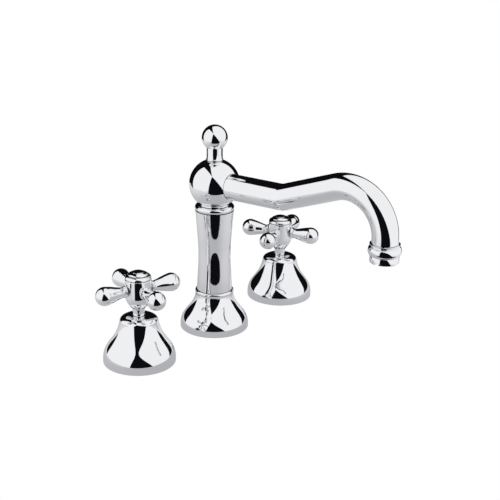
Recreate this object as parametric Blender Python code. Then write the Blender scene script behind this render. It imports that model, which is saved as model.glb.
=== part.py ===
"""Three-hole basin mixer: a turned centre column with a swan-neck spout, and two cross-handle valves.

Frame: origin on the deck at the column's axis, +Z up. The spout points to -Y, the hot valve is at -X
and the cold valve at +X. Each valve, the spout and the lift knob turn or slide on an empty of their own.
"""

import math

import bmesh
import bpy
from mathutils import Matrix, Vector

MM = 0.001

# Clearances
FIT = 0.3 * MM  # between pieces that seat on each other
RUNNING = 0.5 * MM  # round a piece that turns or slides inside another

# Numbers of sides of round pieces
FINE = 20
MEDIUM = 16
COARSE = 12
HEXED = 24  # six-sided on the outside, so a multiple of six

# Whole assembly
VALVE_OFFSET = 100 * MM  # column axis to each valve axis
DECK_GAP = 30 * MM  # thickness of deck that the clamps take as drawn
HOT_TURN = -18.0  # how far each cross stands turned from square, in degrees
COLD_TURN = 15.0

# Shanks and clamps under the deck
SHANK_RADIUS = 14 * MM
SHANK_BELOW_NUT = 17 * MM
RUBBER_THICKNESS = 3 * MM
STEEL_THICKNESS = 1.7 * MM
CLAMP_WIDTH = 11 * MM  # washers, from shank to rim
NUT_HEIGHT = 9.7 * MM
NUT_WALL = 6 * MM  # from shank to a flat

# Bell escutcheons
BELL_RADIUS = 31.3 * MM
BELL_HEIGHT = 42.5 * MM
BELL_FOOT = 3.2 * MM  # height of the straight rim at the foot
BELL_NECK_RADIUS = 16.5 * MM
BELL_SHOULDER = 4.7 * MM  # height of the rounded shoulder
BELL_WALL = 2.3 * MM
BELL_SEAL_WIDTH = 4 * MM
SEAL_THICKNESS = 2 * MM

# Valve bodies and ceramic cartridges
COLLAR_CLEAR = 2.7 * MM  # between the body's collar and the bell seal
COLLAR_HEIGHT = 5 * MM
BODY_WALL = 4.5 * MM
BODY_HEIGHT = 20 * MM
BODY_FLOOR = 7 * MM
WATERWAY_RADIUS = 6 * MM
CARTRIDGE_RADIUS = 9.7 * MM
CARTRIDGE_LEDGE = 1.3 * MM  # how far its hexagon's flats stand out
CARTRIDGE_HEX_HEIGHT = 5.7 * MM
CARTRIDGE_NECK_RADIUS = 8 * MM
CARTRIDGE_WALL = 1.8 * MM
DISC_THICKNESS = 2.7 * MM
DISC_PORT_RADIUS = 1.8 * MM
DISC_PORT_OFFSET = 4.2 * MM
SPINDLE_RADIUS = 4.0 * MM
SPINDLE_TIP_RADIUS = 3.3 * MM
SPINDLE_FLANGE = 3 * MM
SOCKET_RADIUS = 8.5 * MM
SOCKET_DEPTH = 11 * MM
NIPPLE_BORE = 5 * MM
NIPPLE_THREAD_RADIUS = 10 * MM
NIPPLE_FLATS = 24 * MM
NIPPLE_LENGTH = 22 * MM
OUTLET_RADIUS = 7 * MM
OUTLET_BORE = 3.5 * MM
OUTLET_LENGTH = 17 * MM
OUTLET_DROP = 9.5 * MM  # centre of the side outlet below the lock nut

# Cross handles
HUB_RADIUS = 11.3 * MM
HUB_NECK_RADIUS = 5.1 * MM
HUB_NECK_HEIGHT = 6 * MM  # visible neck above the bell
HUB_CONE_HEIGHT = 11.6 * MM
HUB_BARREL_HEIGHT = 15.1 * MM
ARM_RISE = 5.7 * MM  # arms' centre above the barrel's foot
HUB_NECK_INSERT = 1 * MM  # how far the neck reaches into the bell
CAP_RING_HEIGHT = 3.2 * MM
CAP_SHOULDER = 2.4 * MM  # how far the ring draws in to the button
CAP_HEIGHT = 2.6 * MM
CAP_FLAT_RADIUS = 5 * MM
CAP_SPIGOT_WALL = 1.9 * MM
HUB_POCKET_WALL = 5.1 * MM
SCREW_RADIUS = 2.0 * MM
SCREW_HEAD_RADIUS = 3.7 * MM
SCREW_HEAD_HEIGHT = 3 * MM
ARM_REACH = 31.6 * MM  # handle axis to the centre of the arm's round end
ARM_END_RADIUS = 8.05 * MM
ARM_NECK_RADIUS = 4.4 * MM
ARM_BEAD_RADIUS = 5.3 * MM
ARM_BEAD_WIDTH = 2.6 * MM
STUD_RADIUS = 2.4 * MM
STUD_LENGTH = 3.4 * MM

# Centre column
FOOT_RADIUS = 31.3 * MM
FOOT_RIM = 2.6 * MM
FLARE_HEIGHT = 32.2 * MM
FOOT_WALL = 2.4 * MM
LOWER_BEAD_HEIGHT = 4.5 * MM
BEAD_BULGE = 0.9 * MM
SLEEVE_HEIGHT = 75 * MM
SLEEVE_FOOT_WALL = 3.9 * MM
SLEEVE_WAIST = 3.1 * MM  # how far the lower control point draws in the shaft
SLEEVE_TOP_DRAW = 2.9 * MM
SLEEVE_TOP_WALL = 4.0 * MM
FLARE_STEP = 0.4 * MM  # how far the flare's top stands out past the sleeve
BEAD_STEP = 0.8 * MM  # how far the lower bead does
UPPER_BEAD_HEIGHT = 4.7 * MM
UPPER_BEAD_STEP = 0.9 * MM
STEM_RADIUS = 10.5 * MM
STEM_BORE = 7.5 * MM
STEM_COLLAR_WIDTH = 3.5 * MM
SWIVEL_WALL = 1.8 * MM
SWIVEL_ROOM = 1.9 * MM  # for the bush and the O-ring round the tail
TAIL_RADIUS = 9.0 * MM
TAIL_WALL = 2.0 * MM
TAIL_LENGTH = 25 * MM
TAIL_CLEAR = 2 * MM  # room under the tail in its socket
GROOVE_DEPTH = 1.0 * MM
ORING_WIDTH = 2.4 * MM
BUSH_HEIGHT = 7.5 * MM
GRUB_RADIUS = 1.5 * MM
TEE_WALL = 3 * MM
TEE_OVERLAP = 7 * MM
TEE_CHAMBER_RADIUS = 9 * MM
TEE_CHAMBER_HEIGHT = 20 * MM
TEE_FLOOR = 5 * MM
TEE_REACH = 34 * MM

# Spout
BALL_RADIUS = 22.8 * MM
BALL_NECK_RADIUS = 13.6 * MM
BALL_SINK = 3.6 * MM  # height of the ball that its neck swallows, less the neck's own
BALL_WALL = 8.3 * MM
TUBE_RADIUS = 11.6 * MM
TUBE_TIP_RADIUS = 11.0 * MM
TUBE_WALL = 2.9 * MM
TUBE_SINK = 6.8 * MM  # how deep the tube's end sits in the ball
SPOUT_REACH = 177.7 * MM
SPOUT_ROOT_RISE = 1.5  # degrees
SPOUT_RISE = 20.0
CROWN_RADIUS = 36 * MM
CROWN_DROP = 12.3 * MM  # crown's centre below the ball's centre
KINK_RADIUS = 14 * MM
TUBE_DROP = 3.6 * MM  # straight length below the crown
NOZZLE_COLLAR_STEP = 1.5 * MM  # out from the tube's tip
NOZZLE_COLLAR_HEIGHT = 2.2 * MM
NOZZLE_BEAD_BULGE = 1.7 * MM  # out from the aerator's shell
NOZZLE_BEAD_HEIGHT = 7.2 * MM
AERATOR_RADIUS = 12.0 * MM
AERATOR_HEIGHT = 6.2 * MM
AERATOR_THREAD_STEP = 2 * MM
AERATOR_THREAD_HEIGHT = 4 * MM
AERATOR_WALL = 1.2 * MM
AERATOR_LIP_WIDTH = 1 * MM
AERATOR_SLOT_WIDTH = 3.4 * MM
AERATOR_SLOT_DEPTH = 1.8 * MM

# Lift knob
KNOB_RADIUS = 11.66 * MM
KNOB_NECK_RADIUS = 7.2 * MM
KNOB_CENTRE = 20.2 * MM  # above the knob's foot
ROD_RADIUS = 2.5 * MM
ROD_BELOW_TEE = 32 * MM
GUIDE_WALL = 1.6 * MM
GUIDE_BELOW_TEE = 3 * MM

# Radii that follow from the sizes above
CLAMP_RADIUS = SHANK_RADIUS + CLAMP_WIDTH
NUT_FLATS = 2 * (SHANK_RADIUS + NUT_WALL)
STEM_COLLAR_RADIUS = SHANK_RADIUS + STEM_COLLAR_WIDTH
TEE_RADIUS = SHANK_RADIUS + TEE_WALL
COLLAR_RADIUS = BELL_RADIUS - BELL_WALL - FIT - BELL_SEAL_WIDTH - COLLAR_CLEAR
BODY_RADIUS = CARTRIDGE_RADIUS + FIT + BODY_WALL
CARTRIDGE_FLATS = 2 * (CARTRIDGE_RADIUS + CARTRIDGE_LEDGE)
CARTRIDGE_CHAMBER_RADIUS = CARTRIDGE_RADIUS - CARTRIDGE_WALL
HUB_POCKET_RADIUS = HUB_RADIUS - HUB_POCKET_WALL
CAP_BORE_RADIUS = HUB_POCKET_RADIUS - CAP_SPIGOT_WALL
SWIVEL_BORE = TAIL_RADIUS + SWIVEL_ROOM
TAIL_BORE = TAIL_RADIUS - TAIL_WALL
SOCKET_WALL_RADIUS = SWIVEL_BORE + SWIVEL_WALL
SLEEVE_BORE = SOCKET_WALL_RADIUS + FIT
SLEEVE_FOOT_RADIUS = SLEEVE_BORE + SLEEVE_FOOT_WALL
SLEEVE_TOP_RADIUS = SLEEVE_BORE + SLEEVE_TOP_WALL
FLARE_TOP_RADIUS = SLEEVE_FOOT_RADIUS + FLARE_STEP
LOWER_BEAD_RADIUS = SLEEVE_FOOT_RADIUS + BEAD_STEP
UPPER_BEAD_RADIUS = SLEEVE_TOP_RADIUS + UPPER_BEAD_STEP
BALL_CAVITY_RADIUS = BALL_RADIUS - BALL_WALL
TUBE_SEAT = BALL_RADIUS - TUBE_SINK
NOZZLE_COLLAR_RADIUS = TUBE_TIP_RADIUS + NOZZLE_COLLAR_STEP
NOZZLE_BEAD_RADIUS = AERATOR_RADIUS + NOZZLE_BEAD_BULGE
AERATOR_THREAD_RADIUS = AERATOR_RADIUS - AERATOR_THREAD_STEP
AERATOR_BORE = AERATOR_THREAD_RADIUS - AERATOR_WALL
AERATOR_LIP = AERATOR_BORE - AERATOR_LIP_WIDTH
GUIDE_RADIUS = ROD_RADIUS + RUNNING + GUIDE_WALL

# Heights that follow
CLAMP_TOP = -DECK_GAP
STEEL_TOP = CLAMP_TOP - RUBBER_THICKNESS - FIT
NUT_TOP = STEEL_TOP - STEEL_THICKNESS - FIT
SHANK_END = NUT_TOP - NUT_HEIGHT - SHANK_BELOW_NUT
BARREL_FOOT = BELL_HEIGHT + HUB_NECK_HEIGHT + HUB_CONE_HEIGHT
BARREL_TOP = BARREL_FOOT + HUB_BARREL_HEIGHT
ARM_HEIGHT = BARREL_FOOT + ARM_RISE
SLEEVE_FOOT = FLARE_HEIGHT + LOWER_BEAD_HEIGHT + FIT
SLEEVE_TOP = SLEEVE_FOOT + SLEEVE_HEIGHT
COLLAR_FOOT = SLEEVE_TOP + FIT
COLLAR_TOP = COLLAR_FOOT + UPPER_BEAD_HEIGHT
BALL_FOOT = COLLAR_TOP + FIT
BALL_CENTRE = BALL_FOOT + BALL_RADIUS - BALL_SINK
TAIL_END = BALL_FOOT - TAIL_LENGTH
BALL_TOP = BALL_CENTRE + math.sqrt(BALL_RADIUS**2 - KNOB_NECK_RADIUS**2)
TEE_CEILING = SHANK_END - FIT
TEE_END = TEE_CEILING - TEE_CHAMBER_HEIGHT - TEE_FLOOR

FINISHES = {
    "chrome": ((0.86, 0.87, 0.88), 1.0, 0.06),
    "brass": ((0.72, 0.53, 0.25), 1.0, 0.32),
    "steel": ((0.62, 0.63, 0.65), 1.0, 0.35),
    "rubber": ((0.03, 0.03, 0.03), 0.0, 0.75),
    "ceramic": ((0.88, 0.87, 0.84), 0.0, 0.25),
    "nylon": ((0.82, 0.82, 0.80), 0.0, 0.5),
}


def clear_scene():
    for thing in list(bpy.data.objects):
        bpy.data.objects.remove(thing, do_unlink=True)


def finish_material(name, finish):
    colour, metallic, roughness = FINISHES[finish]
    material = bpy.data.materials.new(f"{name}_{finish}")
    material.use_nodes = True
    shader = material.node_tree.nodes["Principled BSDF"]
    shader.inputs["Base Color"].default_value = (*colour, 1.0)
    shader.inputs["Metallic"].default_value = metallic
    shader.inputs["Roughness"].default_value = roughness
    return material


def place(name, mesh, parent, turn=0.0):
    data = bpy.data.meshes.new(name)
    mesh.to_mesh(data)
    mesh.free()
    data.shade_smooth()
    data.set_sharp_from_angle(angle=math.radians(35))
    thing = bpy.data.objects.new(name, data)
    thing.parent = parent
    thing.rotation_euler = (0, 0, math.radians(turn))
    bpy.context.scene.collection.objects.link(thing)
    return thing


def piece(name, mesh, finish, parent=None, turn=0.0):
    thing = place(name, mesh, parent, turn)
    thing.data.materials.append(finish_material(name, finish))
    return thing


def axis_empty(name, x=0.0, turn=0.0):
    empty = bpy.data.objects.new(name, None)
    empty.location = (x, 0, 0)
    empty.rotation_euler = (0, 0, math.radians(turn))
    bpy.context.scene.collection.objects.link(empty)
    return empty


def carve(thing, cutter_mesh, operation="DIFFERENCE"):
    number = len(thing.modifiers) + 1
    cutter = place(f"{thing.name}_cutter_{number}", cutter_mesh, thing.parent)
    cutter.hide_render = True
    cutter.display_type = "WIRE"
    modifier = thing.modifiers.new(cutter.name, "BOOLEAN")
    modifier.operation = operation
    modifier.object = cutter


def lathe(outline, sides=FINE):
    """Turn an outline of (radius, height) points about Z, closed on itself or on the axis."""
    mesh = bmesh.new()
    points = [mesh.verts.new((radius, 0, height)) for radius, height in outline]
    edges = [mesh.edges.new(pair) for pair in zip(points, points[1:])]
    if outline[0][0] > 0 or outline[-1][0] > 0:
        edges.append(mesh.edges.new((points[-1], points[0])))
    bmesh.ops.spin(
        mesh, geom=points + edges, axis=(0, 0, 1), cent=(0, 0, 0),
        steps=sides, angle=math.tau, use_merge=True,
    )
    bmesh.ops.remove_doubles(mesh, verts=mesh.verts, dist=1e-7)
    bmesh.ops.recalc_face_normals(mesh, faces=mesh.faces)
    return mesh


def rod(radius, low, high, sides=COARSE):
    return lathe([(0, low), (radius, low), (radius, high), (0, high)], sides)


def ring(bore, radius, low, high, sides=FINE):
    return lathe([(bore, low), (radius, low), (radius, high), (bore, high)], sides)


def hexagon(mesh, flats, low, high, beyond):
    """Move the outer points between two heights out or in to a hexagon of this size across its flats."""
    for point in mesh.verts:
        radius = math.hypot(point.co.x, point.co.y)
        if low <= point.co.z <= high and radius > beyond:
            angle = math.atan2(point.co.y, point.co.x) % math.radians(60) - math.radians(30)
            scale = flats / 2 / math.cos(angle) / radius
            point.co.x *= scale
            point.co.y *= scale
    return mesh


def lay(mesh, direction, height=0.0):
    """Lay a piece turned about Z along a level direction, at a height."""
    turn = Vector((0, 0, 1)).rotation_difference(Vector(direction)).to_matrix().to_4x4()
    bmesh.ops.transform(mesh, matrix=Matrix.Translation((0, 0, height)) @ turn, verts=mesh.verts)
    return mesh


def joined(*meshes):
    whole = bmesh.new()
    for number, mesh in enumerate(meshes):
        data = bpy.data.meshes.new(f"joined_{number}")
        mesh.to_mesh(data)
        mesh.free()
        whole.from_mesh(data)
        bpy.data.meshes.remove(data)
    return whole


def arc(centre, radii, start, stop, steps):
    """Points of an elliptical arc in (radius, height), with angles in degrees from the outward side."""
    angles = [math.radians(start + (stop - start) * i / steps) for i in range(steps + 1)]
    return [(centre[0] + radii[0] * math.cos(a), centre[1] + radii[1] * math.sin(a)) for a in angles]


def bezier(a, b, c, d, steps):
    points = []
    for i in range(steps + 1):
        t = i / steps
        weights = ((1 - t) ** 3, 3 * t * (1 - t) ** 2, 3 * t * t * (1 - t), t**3)
        points.append(tuple(sum(w * p[k] for w, p in zip(weights, (a, b, c, d))) for k in (0, 1)))
    return points


def flare(foot, top, belly, hollow, spread, steps):
    """A bell-like curve: full near the foot and hollow near the top."""
    rise = top[1] - foot[1]
    width = foot[0] - top[0]
    return bezier(
        foot, (foot[0], foot[1] + belly * rise),
        (top[0] + spread * width, foot[1] + hollow * rise), top, steps,
    )


def bead(radius, bulge, low, high, steps=3):
    """A half-round bead whose crest stands at radius."""
    middle = (low + high) / 2
    return arc((radius - bulge, middle), (bulge, (high - low) / 2), -90, 90, steps)


def clamp(prefix, parent):
    """Rubber washer, steel washer and lock nut that grip the deck from below."""
    bore = SHANK_RADIUS + FIT
    rubber = ring(bore, CLAMP_RADIUS, CLAMP_TOP - RUBBER_THICKNESS, CLAMP_TOP)
    piece(f"{prefix}_rubber_washer", rubber, "rubber", parent)
    steel = ring(bore, CLAMP_RADIUS, STEEL_TOP - STEEL_THICKNESS, STEEL_TOP)
    piece(f"{prefix}_steel_washer", steel, "steel", parent)
    low = NUT_TOP - NUT_HEIGHT
    nut = ring(bore, NUT_FLATS / 2, low, NUT_TOP, HEXED)
    piece(f"{prefix}_lock_nut", hexagon(nut, NUT_FLATS, low, NUT_TOP, bore + FIT), "brass", parent)


def bell(prefix, parent):
    neck = (BELL_NECK_RADIUS, BELL_HEIGHT - BELL_SHOULDER)
    mouth = HUB_NECK_RADIUS + 1.2 * RUNNING
    foot = (BELL_RADIUS, BELL_FOOT)
    outer = [(BELL_RADIUS - 1.5 * FIT, 0), (BELL_RADIUS, 4 * FIT)]
    outer += flare(foot, neck, 0.41, 0.416, 0.236, 6)
    outer += arc((mouth, neck[1]), (neck[0] - mouth, BELL_SHOULDER), 0, 90, 3)[1:]
    inside = [
        (mouth, BELL_HEIGHT - BELL_WALL),
        (neck[0] - 2 * BELL_WALL, BELL_HEIGHT - BELL_WALL),
    ]
    inner_foot = (BELL_RADIUS - BELL_WALL, BELL_FOOT)
    inner_neck = (neck[0] - BELL_WALL, neck[1] - BELL_WALL)
    inside += reversed(flare(inner_foot, inner_neck, 0.41, 0.416, 0.236, 3))
    inside += [(BELL_RADIUS - BELL_WALL, 0)]
    piece(f"{prefix}_bell_escutcheon", lathe(outer + inside), "chrome", parent)
    edge = BELL_RADIUS - BELL_WALL - FIT
    seal = ring(edge - BELL_SEAL_WIDTH, edge, 0, SEAL_THICKNESS)
    piece(f"{prefix}_bell_seal", seal, "rubber", parent)


def valve_body(prefix, parent):
    outlet = NUT_TOP - NUT_HEIGHT - OUTLET_DROP
    end = SHANK_END - SOCKET_DEPTH
    seat = CARTRIDGE_RADIUS + FIT
    outline = [
        (SHANK_RADIUS - 1 * MM, end), (SHANK_RADIUS, end + 1 * MM), (SHANK_RADIUS, 0),
        (COLLAR_RADIUS, 0), (COLLAR_RADIUS, COLLAR_HEIGHT), (BODY_RADIUS, COLLAR_HEIGHT),
        (BODY_RADIUS, BODY_HEIGHT), (seat, BODY_HEIGHT), (seat, BODY_FLOOR),
        (WATERWAY_RADIUS, BODY_FLOOR), (WATERWAY_RADIUS, SHANK_END), (SOCKET_RADIUS, SHANK_END),
        (SOCKET_RADIUS, end),
    ]
    body = piece(f"{prefix}_valve_body", lathe(outline), "brass", parent)
    port = OUTLET_RADIUS - 2 * MM
    carve(body, lay(rod(port, WATERWAY_RADIUS / 2, SHANK_RADIUS + 2 * MM), (1, 0, 0), outlet))

    face = SHANK_RADIUS + FIT
    outlet_outline = [
        (OUTLET_BORE, WATERWAY_RADIUS + FIT), (port - FIT, WATERWAY_RADIUS + FIT), (port - FIT, face),
        (OUTLET_RADIUS + 1.5 * MM, face), (OUTLET_RADIUS + 1.5 * MM, face + 3 * MM),
        (OUTLET_RADIUS, face + 3 * MM), (OUTLET_RADIUS, face + OUTLET_LENGTH),
        (OUTLET_BORE, face + OUTLET_LENGTH),
    ]
    nipple = lay(lathe(outlet_outline, COARSE), (1, 0, 0), outlet)
    piece(f"{prefix}_outlet_nipple", nipple, "brass", parent)

    shoulder = end - FIT
    grip = shoulder - 5 * MM
    inlet_outline = [
        (NIPPLE_BORE, SHANK_END - FIT), (NIPPLE_BORE, shoulder - NIPPLE_LENGTH),
        (NIPPLE_THREAD_RADIUS, shoulder - NIPPLE_LENGTH), (NIPPLE_THREAD_RADIUS, grip),
        (NIPPLE_FLATS / 2, grip), (NIPPLE_FLATS / 2, shoulder),
        (SOCKET_RADIUS - FIT, shoulder), (SOCKET_RADIUS - FIT, SHANK_END - FIT),
    ]
    inlet = lathe(inlet_outline, COARSE)
    inlet = hexagon(inlet, NIPPLE_FLATS, grip, shoulder, NIPPLE_THREAD_RADIUS + FIT)
    piece(f"{prefix}_inlet_nipple", inlet, "brass", parent)


def cartridge(prefix, fixed, turning):
    """Ceramic cartridge: body and lower disc stay, upper disc and spindle turn with the handle."""
    low = BODY_FLOOR + FIT
    hex_low = BODY_HEIGHT + FIT
    hex_high = hex_low + CARTRIDGE_HEX_HEIGHT
    top = BELL_HEIGHT - BELL_WALL - 2 * MM
    disc = CARTRIDGE_CHAMBER_RADIUS - RUNNING
    upper_disc = low + DISC_THICKNESS + FIT
    flange = upper_disc + DISC_THICKNESS + FIT
    ceiling = flange + SPINDLE_FLANGE + FIT
    bore = SPINDLE_RADIUS + RUNNING
    outline = [
        (CARTRIDGE_RADIUS, low), (CARTRIDGE_RADIUS, hex_low), (CARTRIDGE_FLATS / 2, hex_low),
        (CARTRIDGE_FLATS / 2, hex_high), (CARTRIDGE_NECK_RADIUS, hex_high),
        (CARTRIDGE_NECK_RADIUS, top), (bore, top), (bore, ceiling),
        (CARTRIDGE_CHAMBER_RADIUS, ceiling), (CARTRIDGE_CHAMBER_RADIUS, low),
    ]
    body = hexagon(
        lathe(outline, COARSE), CARTRIDGE_FLATS, hex_low, hex_high, CARTRIDGE_RADIUS + FIT
    )
    piece(f"{prefix}_cartridge_body", body, "brass", fixed)

    for name, base, parent in (
        ("fixed_disc", low, fixed), ("turning_disc", upper_disc, turning),
    ):
        plate = piece(
            f"{prefix}_{name}", rod(disc, base, base + DISC_THICKNESS, MEDIUM), "ceramic", parent
        )
        ports = []
        for side in (-1, 1):
            port = rod(DISC_PORT_RADIUS, base - FIT, base + DISC_THICKNESS + FIT, 8)
            bmesh.ops.translate(port, vec=(side * DISC_PORT_OFFSET, 0, 0), verts=port.verts)
            ports.append(port)
        carve(plate, joined(*ports))

    tip = ARM_HEIGHT - SCREW_HEAD_HEIGHT - 2 * MM
    shoulder = BELL_HEIGHT - BELL_WALL
    thread = SCREW_RADIUS + FIT
    outline = [
        (0, flange), (disc, flange), (disc, flange + SPINDLE_FLANGE),
        (SPINDLE_RADIUS, flange + SPINDLE_FLANGE), (SPINDLE_RADIUS, shoulder),
        (SPINDLE_TIP_RADIUS, shoulder), (SPINDLE_TIP_RADIUS, tip), (thread, tip),
        (thread, tip - 11 * MM), (0, tip - 11 * MM),
    ]
    piece(f"{prefix}_spindle", lathe(outline, COARSE), "brass", turning)


def arm_mesh():
    root = HUB_RADIUS + FIT
    outline = [(0, root - STUD_LENGTH), (STUD_RADIUS, root - STUD_LENGTH), (STUD_RADIUS, root)]
    outline += bead(ARM_BEAD_RADIUS, 1.3 * MM, root, root + ARM_BEAD_WIDTH, 2)
    neck = (ARM_NECK_RADIUS, root + ARM_BEAD_WIDTH + 0.6 * MM)
    tangent = 107.0
    end = arc((0, ARM_REACH), (ARM_END_RADIUS, ARM_END_RADIUS), 90 - tangent, 90, 4)
    draw = end[0][1] - neck[1]
    outline += bezier(
        neck, (neck[0] + 0.6 * MM, neck[1] + 0.3 * draw),
        (end[0][0] - 0.9 * MM, end[0][1] - 0.4 * draw), end[0], 2,
    )
    outline += end[1:-1] + [(0, end[-1][1])]
    return lay(lathe(outline, COARSE), (1, 0, 0), ARM_HEIGHT)


def handle(prefix, parent):
    tip = ARM_HEIGHT - SCREW_HEAD_HEIGHT - 2 * MM
    pocket_floor = ARM_HEIGHT - SCREW_HEAD_HEIGHT + FIT
    neck_foot = BELL_HEIGHT - HUB_NECK_INSERT
    neck_top = BELL_HEIGHT + HUB_NECK_HEIGHT
    thread = SCREW_RADIUS + FIT
    bore = SPINDLE_TIP_RADIUS + FIT
    cone = 0.4 * (HUB_RADIUS - HUB_NECK_RADIUS)
    outline = [(HUB_NECK_RADIUS, neck_foot)]
    outline += bezier(
        (HUB_NECK_RADIUS, neck_top), (HUB_NECK_RADIUS + cone, neck_top + 0.2 * HUB_CONE_HEIGHT),
        (HUB_RADIUS, BARREL_FOOT - 0.4 * HUB_CONE_HEIGHT), (HUB_RADIUS, BARREL_FOOT), 3,
    )
    outline += [
        (HUB_RADIUS, BARREL_TOP), (HUB_POCKET_RADIUS, BARREL_TOP),
        (HUB_POCKET_RADIUS, pocket_floor), (thread, pocket_floor), (thread, tip + FIT),
        (bore, tip + FIT), (bore, neck_foot),
    ]
    hub = piece(f"{prefix}_handle_hub", lathe(outline, MEDIUM), "chrome", parent)
    holes = []
    for direction in ((1, 0, 0), (0, 1, 0), (-1, 0, 0), (0, -1, 0)):
        hole = rod(STUD_RADIUS + FIT, HUB_RADIUS - STUD_LENGTH, HUB_RADIUS + 2 * MM, 8)
        holes.append(lay(hole, direction, ARM_HEIGHT))
    carve(hub, joined(*holes))
    for number in range(4):
        piece(f"{prefix}_arm_{number + 1}", arm_mesh(), "chrome", parent, 90 * number)

    low = BARREL_TOP + FIT
    high = low + CAP_RING_HEIGHT
    outline = [(CAP_BORE_RADIUS, high), (CAP_BORE_RADIUS, low - 5 * MM)]
    outline += [(HUB_POCKET_RADIUS - FIT, low - 5 * MM), (HUB_POCKET_RADIUS - FIT, low)]
    shoulder = HUB_RADIUS - CAP_SHOULDER
    outline += arc((shoulder, low), (CAP_SHOULDER, CAP_RING_HEIGHT), 0, 90, 3)
    piece(f"{prefix}_cap_ring", lathe(outline, MEDIUM), "chrome", parent)

    base = high + FIT
    dome = shoulder - FIT
    outline = [(0, low - 4 * MM), (CAP_BORE_RADIUS - FIT, low - 4 * MM)]
    outline += [(CAP_BORE_RADIUS - FIT, base)]
    outline += arc((CAP_FLAT_RADIUS, base), (dome - CAP_FLAT_RADIUS, CAP_HEIGHT), 0, 90, 3)
    outline += [(0, base + CAP_HEIGHT)]
    piece(f"{prefix}_cap_button", lathe(outline, MEDIUM), "chrome", parent)

    head = pocket_floor + FIT
    top = head + SCREW_HEAD_HEIGHT
    outline = [
        (0, tip - 10 * MM), (SCREW_RADIUS, tip - 10 * MM), (SCREW_RADIUS, head),
        (SCREW_HEAD_RADIUS, head), (SCREW_HEAD_RADIUS, top), (SCREW_RADIUS, top),
        (SCREW_RADIUS, top - 1.5 * MM), (0, top - 1.5 * MM),
    ]
    piece(f"{prefix}_handle_screw", lathe(outline, COARSE), "steel", parent)


def valve(prefix, x, turn, facing):
    fixed = axis_empty(f"{prefix}_valve_axis", x, facing)
    turning = axis_empty(f"{prefix}_handle_axis", x, turn)
    bell(prefix, fixed)
    valve_body(prefix, fixed)
    clamp(prefix, fixed)
    cartridge(prefix, fixed, turning)
    handle(prefix, turning)


def base_flange(parent):
    top = (FLARE_TOP_RADIUS, FLARE_HEIGHT)
    crest = FLARE_HEIGHT + LOWER_BEAD_HEIGHT
    outer = [(FOOT_RADIUS - 1.5 * FIT, 0), (FOOT_RADIUS, 4 * FIT)]
    outer += flare((FOOT_RADIUS, FOOT_RIM), top, 0.433, 0.493, 0.173, 6)
    outer += bead(LOWER_BEAD_RADIUS, BEAD_BULGE, FLARE_HEIGHT + FIT, crest)
    inner_foot = (FOOT_RADIUS - FOOT_WALL, FOOT_RIM)
    inner_top = (SLEEVE_BORE, FLARE_HEIGHT - FOOT_WALL)
    inside = [(SLEEVE_BORE, crest)]
    inside += reversed(flare(inner_foot, inner_top, 0.433, 0.4, 0.1, 3))
    inside += [(FOOT_RADIUS - FOOT_WALL, 0)]
    piece("base_flange", lathe(outer + inside), "chrome", parent)
    edge = FOOT_RADIUS - FOOT_WALL - FIT
    gasket = ring(STEM_COLLAR_RADIUS + FIT, edge, 0, SEAL_THICKNESS)
    piece("base_gasket", gasket, "rubber", parent)


def column(parent):
    third = SLEEVE_HEIGHT / 3
    outline = bezier(
        (SLEEVE_FOOT_RADIUS, SLEEVE_FOOT), (SLEEVE_FOOT_RADIUS - SLEEVE_WAIST, SLEEVE_FOOT + third),
        (SLEEVE_TOP_RADIUS - SLEEVE_TOP_DRAW, SLEEVE_TOP - third), (SLEEVE_TOP_RADIUS, SLEEVE_TOP), 6,
    )
    outline += [(SLEEVE_BORE, SLEEVE_TOP), (SLEEVE_BORE, SLEEVE_FOOT)]
    sleeve = piece("column_sleeve", lathe(outline), "chrome", parent)

    socket_top = SLEEVE_TOP
    socket_floor = TAIL_END - TAIL_CLEAR
    outline = [
        (SHANK_RADIUS - 1 * MM, SHANK_END), (SHANK_RADIUS, SHANK_END + 1 * MM), (SHANK_RADIUS, 0),
        (STEM_COLLAR_RADIUS, 0), (STEM_COLLAR_RADIUS, COLLAR_HEIGHT), (STEM_RADIUS, COLLAR_HEIGHT),
        (STEM_RADIUS, socket_floor - 4 * MM), (SOCKET_WALL_RADIUS, socket_floor - 2 * MM),
        (SOCKET_WALL_RADIUS, socket_top), (SWIVEL_BORE, socket_top), (SWIVEL_BORE, socket_floor),
        (STEM_BORE, socket_floor), (STEM_BORE, SHANK_END),
    ]
    stem = piece("supply_stem", lathe(outline), "brass", parent)

    groove = TAIL_END + 3 * MM
    hole = GRUB_RADIUS + FIT
    for thing in (sleeve, stem):
        carve(thing, lay(rod(hole, TAIL_RADIUS, SLEEVE_TOP_RADIUS + 2 * MM, 8), (0, 1, 0), groove))
    reach = TAIL_RADIUS - GROOVE_DEPTH + FIT
    grub = lay(rod(GRUB_RADIUS, reach, SLEEVE_BORE + 1 * MM, 8), (0, 1, 0), groove)
    piece("spout_grub_screw", grub, "steel", parent)

    bush = ring(TAIL_RADIUS + FIT, SWIVEL_BORE - FIT, SLEEVE_TOP - BUSH_HEIGHT, SLEEVE_TOP)
    piece("swivel_bush", bush, "nylon", parent)
    seat = groove + 4 * MM
    oring = ring(
        TAIL_RADIUS - GROOVE_DEPTH + FIT, SWIVEL_BORE - FIT, seat + FIT, seat + FIT + ORING_WIDTH
    )
    piece("swivel_oring", oring, "rubber", parent)

    bore = TAIL_RADIUS + RUNNING
    outline = [(bore, COLLAR_TOP), (bore, COLLAR_FOOT)]
    outline += bead(UPPER_BEAD_RADIUS, BEAD_BULGE, COLLAR_FOOT, COLLAR_TOP)
    piece("swivel_collar", lathe(outline), "chrome", parent)


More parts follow.
